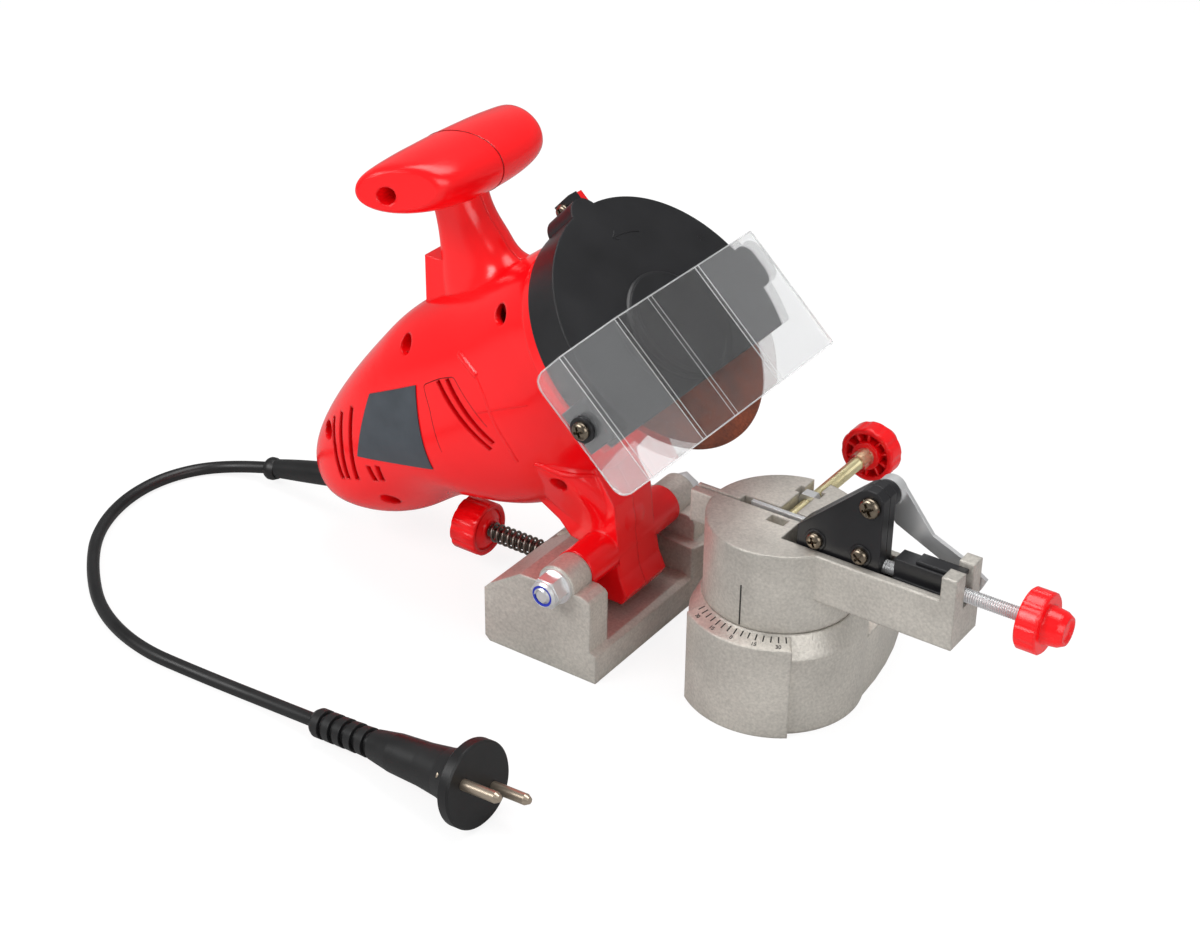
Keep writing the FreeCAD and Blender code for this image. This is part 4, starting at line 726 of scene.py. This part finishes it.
# The cut edges and the folds of clear sheet catch the light: thin glints along them
def addShieldGlints():
    low, high, corner = shieldLook["low"], shieldLook["high"], shieldLook["cornerRadius"]
    width, out, bite = shieldGlint["width"], shieldGlint["outward"], corner * shieldGlint["cornerShare"]
    tabX, tabY = shieldFolds[0]
    parts = []
    for level, into in ((high, -1), (low, 1)):
        bend = [(tabX, tabY, level + into * corner), (tabX + bite, tabY, level + into * bite),
                (tabX + corner, tabY, level)]
        parts.append(headTube(bend + [(x, y, level) for x, y in shieldFolds[1:]], width))
    parts.append(headTube([(tabX, tabY, low + corner), (tabX, tabY, high - corner)],
                          width * shieldGlint["tabShare"]))
    parts.append(headTube([(*shieldFolds[-1], low), (*shieldFolds[-1], high)], width))
    for (x, y), share in zip(shieldFolds[1:-1], shieldGlint["foldShares"]):
        for aside in (-shieldGlint["aside"], shieldGlint["aside"]):
            parts.append(headTube([(x + out, y + aside, low), (x + out, y + aside, high)],
                                  width * share * shieldGlint["foldShare"]))
    finishPiece(joinPieces(parts), "shieldGlints", "clear_plastic", "head", (), 60, "clear_glint")


addShield()
addShieldGlints()
print("shield done")

# Lines that run over the housing's near and far side: a curve laid on the shell by rays along Y.
# Their points lie in the head's own frame, in millimetres along the motor axis and up.
shellLines = {
    "swoosh": {"radius": 0.0011, "sink": 0.0007,
               "points": [(-60.6, 39), (-58.6, 33.4), (-60.2, 24.9), (-64.1, 17.5), (-68.2, 10),
                          (-72.3, 2.8), (-78.5, -5)]},
    "lip": {"radius": 0.0026, "sink": 0.0018,
            "points": [(-64.2, 47.5), (-62.4, 43.9), (-60.3, 38.9), (-58.2, 32.7)]},
    "crease": {"radius": 0.0006, "sink": 0.0004,
               "points": [(-72.4, 21.6), (-70.1, 20.8), (-57.6, 16.1), (-43.7, 10.2)]},
    # the panel's outline is a thin groove drawn in darker red: painted shade
    "panel": {"radius": 0.00030, "sink": 0.0002, "paint": "dark_red",
              "points": [(-110.3, 10.7), (-102.4, 23.4), (-94.7, 35.3), (-91, 45.6), (-79.8, 42.9),
                         (-71.5, 39.4), (-71.2, 25.6), (-71.8, 13.9)]},
    "bead": {"radius": 0.0016, "sink": 0.0008,
             "points": [(-60.8, -40), (-66, -31), (-71, -20), (-73.8, -10)]},
}
rayDistance = 0.15
taperStep = 0.25


def surfaceHit(along, up, side, target):
    start = headPlace @ Vector((along / 1000, side * rayDistance, up / 1000))
    hit, place = target.ray_cast(start, Vector((0, -side, 0)))[:2]
    return place if hit else None


def shellLine(name, points, side, radius, sink, paint=None):
    target = nodes["housing_left"] if side < 0 else nodes["housing_right"]
    places = []
    for (along, up), (nextAlong, nextUp) in zip(points, points[1:] + [points[-1]]):
        for share in (0, 0.25, 0.5, 0.75):
            place = surfaceHit(along + (nextAlong - along) * share, up + (nextUp - up) * share, side, target)
            if place is not None:
                places.append(place - Vector((0, side * sink, 0)))
    curve = bpy.data.curves.new(name, "CURVE")
    curve.dimensions = "3D"
    curve.bevel_depth = radius
    curve.bevel_resolution = 3
    curve.use_fill_caps = True
    line = curve.splines.new("NURBS")
    line.points.add(len(places) - 1)
    for index, (point, place) in enumerate(zip(line.points, places)):
        point.co = (*place, 1)
        point.radius = min(1.0, taperStep + min(index, len(places) - 1 - index) * taperStep)
    line.order_u = 4
    line.use_endpoint_u = True
    finishPiece(asMesh(curve), name, "red_plastic", "head", (), 60, paint)


for side, word in ((-1, "Near"), (1, "Far")):
    for name, values in shellLines.items():
        shellLine(name + word, side=side, **values)
print("shell lines done")

# Stiffening ribs in the knobs' inner recess
ribs = {"count": 10, "size": (0.0042, 0.0011, 0.0044), "bevel": 0.0002, "middle": (0.0085, 0, 0.0028)}
ribPlaces = {"clamp": (clampAxis["x"], 0.072, clampAxis["z"]),
             "adjust": (0.1972, adjustAxis["y"], adjustAxis["z"])}


def knobRibs(name, body, place, outward):
    parts = []
    for index in range(ribs["count"]):
        rib = barPiece(ribs["size"], ribs["bevel"])
        turn = Matrix.Rotation(2 * math.pi * (index + 0.5) / ribs["count"], 4, "Z")
        rib.matrix_world = turn @ Matrix.Translation(ribs["middle"])
        applyPlace(rib)
        parts.append(rib)
    wheel = joinPieces(parts)
    layAlong(wheel, place, outward)
    finishPiece(wheel, name, "red_plastic", body)


# The depth knob: its grip is longer, with a flat outer end and a smooth cone round the hub.
depthGrip = {"face": -0.0727, "rimEnd": -0.0819, "longer": 0.0042, "capShare": 0.14, "rimDepth": 0.002,
             "capDepth": 0.0002,
             "cone": [(0.0064, -0.0004), (0.0084, 0.0004), (0.0104, 0.0012), (0.0104, 0.003),
                      (0.0064, 0.003)]}


def selectBelow(piece, limit):
    bpy.ops.object.mode_set(mode="OBJECT")
    for vertex in piece.data.vertices:
        vertex.select = vertex.co.x < limit
    bpy.ops.object.mode_set(mode="EDIT")


def addDepthKnob():
    grip = copyPiece(nodes["depth_knob"])
    makeActive(grip)
    bpy.ops.object.mode_set(mode="EDIT")
    bpy.ops.mesh.select_mode(type="VERT")
    bpy.ops.mesh.select_all(action="SELECT")
    bpy.ops.mesh.remove_doubles(threshold=mergeDistance)
    bpy.ops.mesh.select_all(action="DESELECT")
    selectBelow(grip, depthGrip["rimEnd"] + depthGrip["rimDepth"])
    bpy.ops.transform.translate(value=(-depthGrip["longer"], 0, 0))
    capStart = depthGrip["rimEnd"] - depthGrip["longer"]
    selectBelow(grip, capStart - depthGrip["capDepth"])
    bpy.ops.transform.resize(value=(depthGrip["capShare"], 1, 1), center_override=(capStart, 0, depthHeight))
    bpy.ops.object.mode_set(mode="OBJECT")
    finishPiece(grip, "depthGrip", "red_plastic", "depth_grip", ("depth_knob",), 40)
    cone = turnedPiece(depthGrip["cone"], closed=False)
    layAlong(cone, (depthGrip["face"], 0, depthHeight), backWards)
    finishPiece(cone, "depthCone", "red_plastic", "depth_grip")


addDepthKnob()
knobRibs("clampKnobRibs", "clamp_grip", ribPlaces["clamp"], farWards)
knobRibs("adjustKnobRibs", "adjust_grip", ribPlaces["adjust"], frontWards)
print("knob ribs done")

# Guard: a raised rim round the central disc and the turning arrow
guardLook = {"arrowRadius": 0.0445, "arrowWidth": 0.0006, "arrowFace": 0.0092, "arrowTurns": (68, 90, 3),
             "barbs": ((0, 0.0030, 0.0022), (0, 0.0026, -0.0022)), "rimFace": 9.15,
             "rim": [(0.0236, 0), (0.0252, 0), (0.0252, 0.0004), (0.0240, 0.0011), (0.0236, 0.0011)]}


def addGuardDetails():
    radius, face = guardLook["arrowRadius"], guardLook["arrowFace"]
    turns = [math.radians(value) for value in range(*guardLook["arrowTurns"])]
    places = [Vector((face, radius * math.cos(turn), radius * math.sin(turn))) for turn in turns]
    tip = places[-1]
    upper, lower = [tip + Vector(barb) for barb in guardLook["barbs"]]
    arrow = [headTube(route, guardLook["arrowWidth"] / 2) for route in (places, [upper, tip, lower])]
    finishPiece(joinPieces(arrow), "turningArrow", "black_plastic", "head", (), 60)
    ring = turnedPiece(guardLook["rim"], sides=72, closed=False)
    layAlong(ring, headPoint(guardLook["rimFace"], 0, 0), headPlace.to_3x3() @ Vector((1, 0, 0)))
    finishPiece(ring, "guardDiscRim", "black_plastic", "head")


addGuardDetails()
print("guard details done")

# Strain relief: a collar at its mouth
sleeveCollar = {"profile": [(0.0040, 0), (0.0052, 0.0004), (0.0057, 0.0014), (0.0057, 0.0034),
                            (0.0052, 0.0048), (0.0048, 0.0060)],
                "place": (-0.2094, -0.0008, 0.0074), "axis": (0.99, 0.02, 0.14)}


def addSleeveCollar():
    collar = turnedPiece(sleeveCollar["profile"], sides=40)
    layAlong(collar, sleeveCollar["place"], sleeveCollar["axis"])
    finishPiece(collar, "sleeveCollar", "rubber_black", "head")


addSleeveCollar()

# The handle's seam: a thin line round the crossbar's middle, in darker red as painted shade in its gap.
# The bar's outline there is a rounded oval of the given power, tilted against the bench.
handleSeam = {"width": 0.00045, "halfWide": 0.02288, "halfTall": 0.01398, "middle": (-0.0335, 0.1115),
              "degrees": 9, "power": 2.1, "steps": 64}


def ovalShare(value):
    return math.copysign(abs(value) ** (2 / handleSeam["power"]), value)


def addHandleSeam():
    tilt = math.radians(handleSeam["degrees"] - restDegrees)
    along, up = handleSeam["middle"]
    route = []
    for index in range(handleSeam["steps"]):
        turn = 2 * math.pi * index / handleSeam["steps"]
        wide = ovalShare(math.cos(turn)) * handleSeam["halfWide"]
        tall = ovalShare(math.sin(turn)) * handleSeam["halfTall"]
        route.append((along + wide * math.cos(tilt) - tall * math.sin(tilt), 0,
                      up + wide * math.sin(tilt) + tall * math.cos(tilt)))
    seam = headTube(route, handleSeam["width"] / 2, cyclic=True)
    finishPiece(seam, "handleSeam", "red_plastic", "head", (), 60, "dark_red")


addHandleSeam()
print("sleeve collar and seam done")

# Cord: one smooth line from the sleeve to the plug
cordRoute = {"diameter": 0.006, "length": 0.3213,
             "points": [(-0.209, -0.0008, 0.0075), (-0.2341, -0.006, 0.00308), (-0.25, -0.0295, 0.00305),
                        (-0.252, -0.058, 0.00305), (-0.241, -0.088, 0.00305), (-0.219, -0.113, 0.00305),
                        (-0.191, -0.135, 0.00305), (-0.157, -0.146, 0.00305), (-0.1215, -0.145, 0.00305),
                        (-0.0862, -0.1429, 0.00305), (-0.0524, -0.1454, 0.00755)]}


def addCord():
    data = bpy.data.curves.new("mainsCord", "CURVE")
    data.dimensions = "3D"
    data.bevel_depth = cordRoute["diameter"] / 2
    data.bevel_resolution = 6
    data.resolution_u = 16
    data.use_fill_caps = True
    line = data.splines.new("NURBS")
    line.points.add(len(cordRoute["points"]) - 1)
    for point, place in zip(line.points, cordRoute["points"]):
        point.co = place + (1,)
    line.order_u = 3
    line.use_endpoint_u = True
    cord = bpy.data.objects.new("mainsCord", data)
    bpy.context.scene.collection.objects.link(cord)
    data.materials.append(paints["rubber_black"])
    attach(cord, "base")
    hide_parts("cord")


addCord()
print("cord laid")
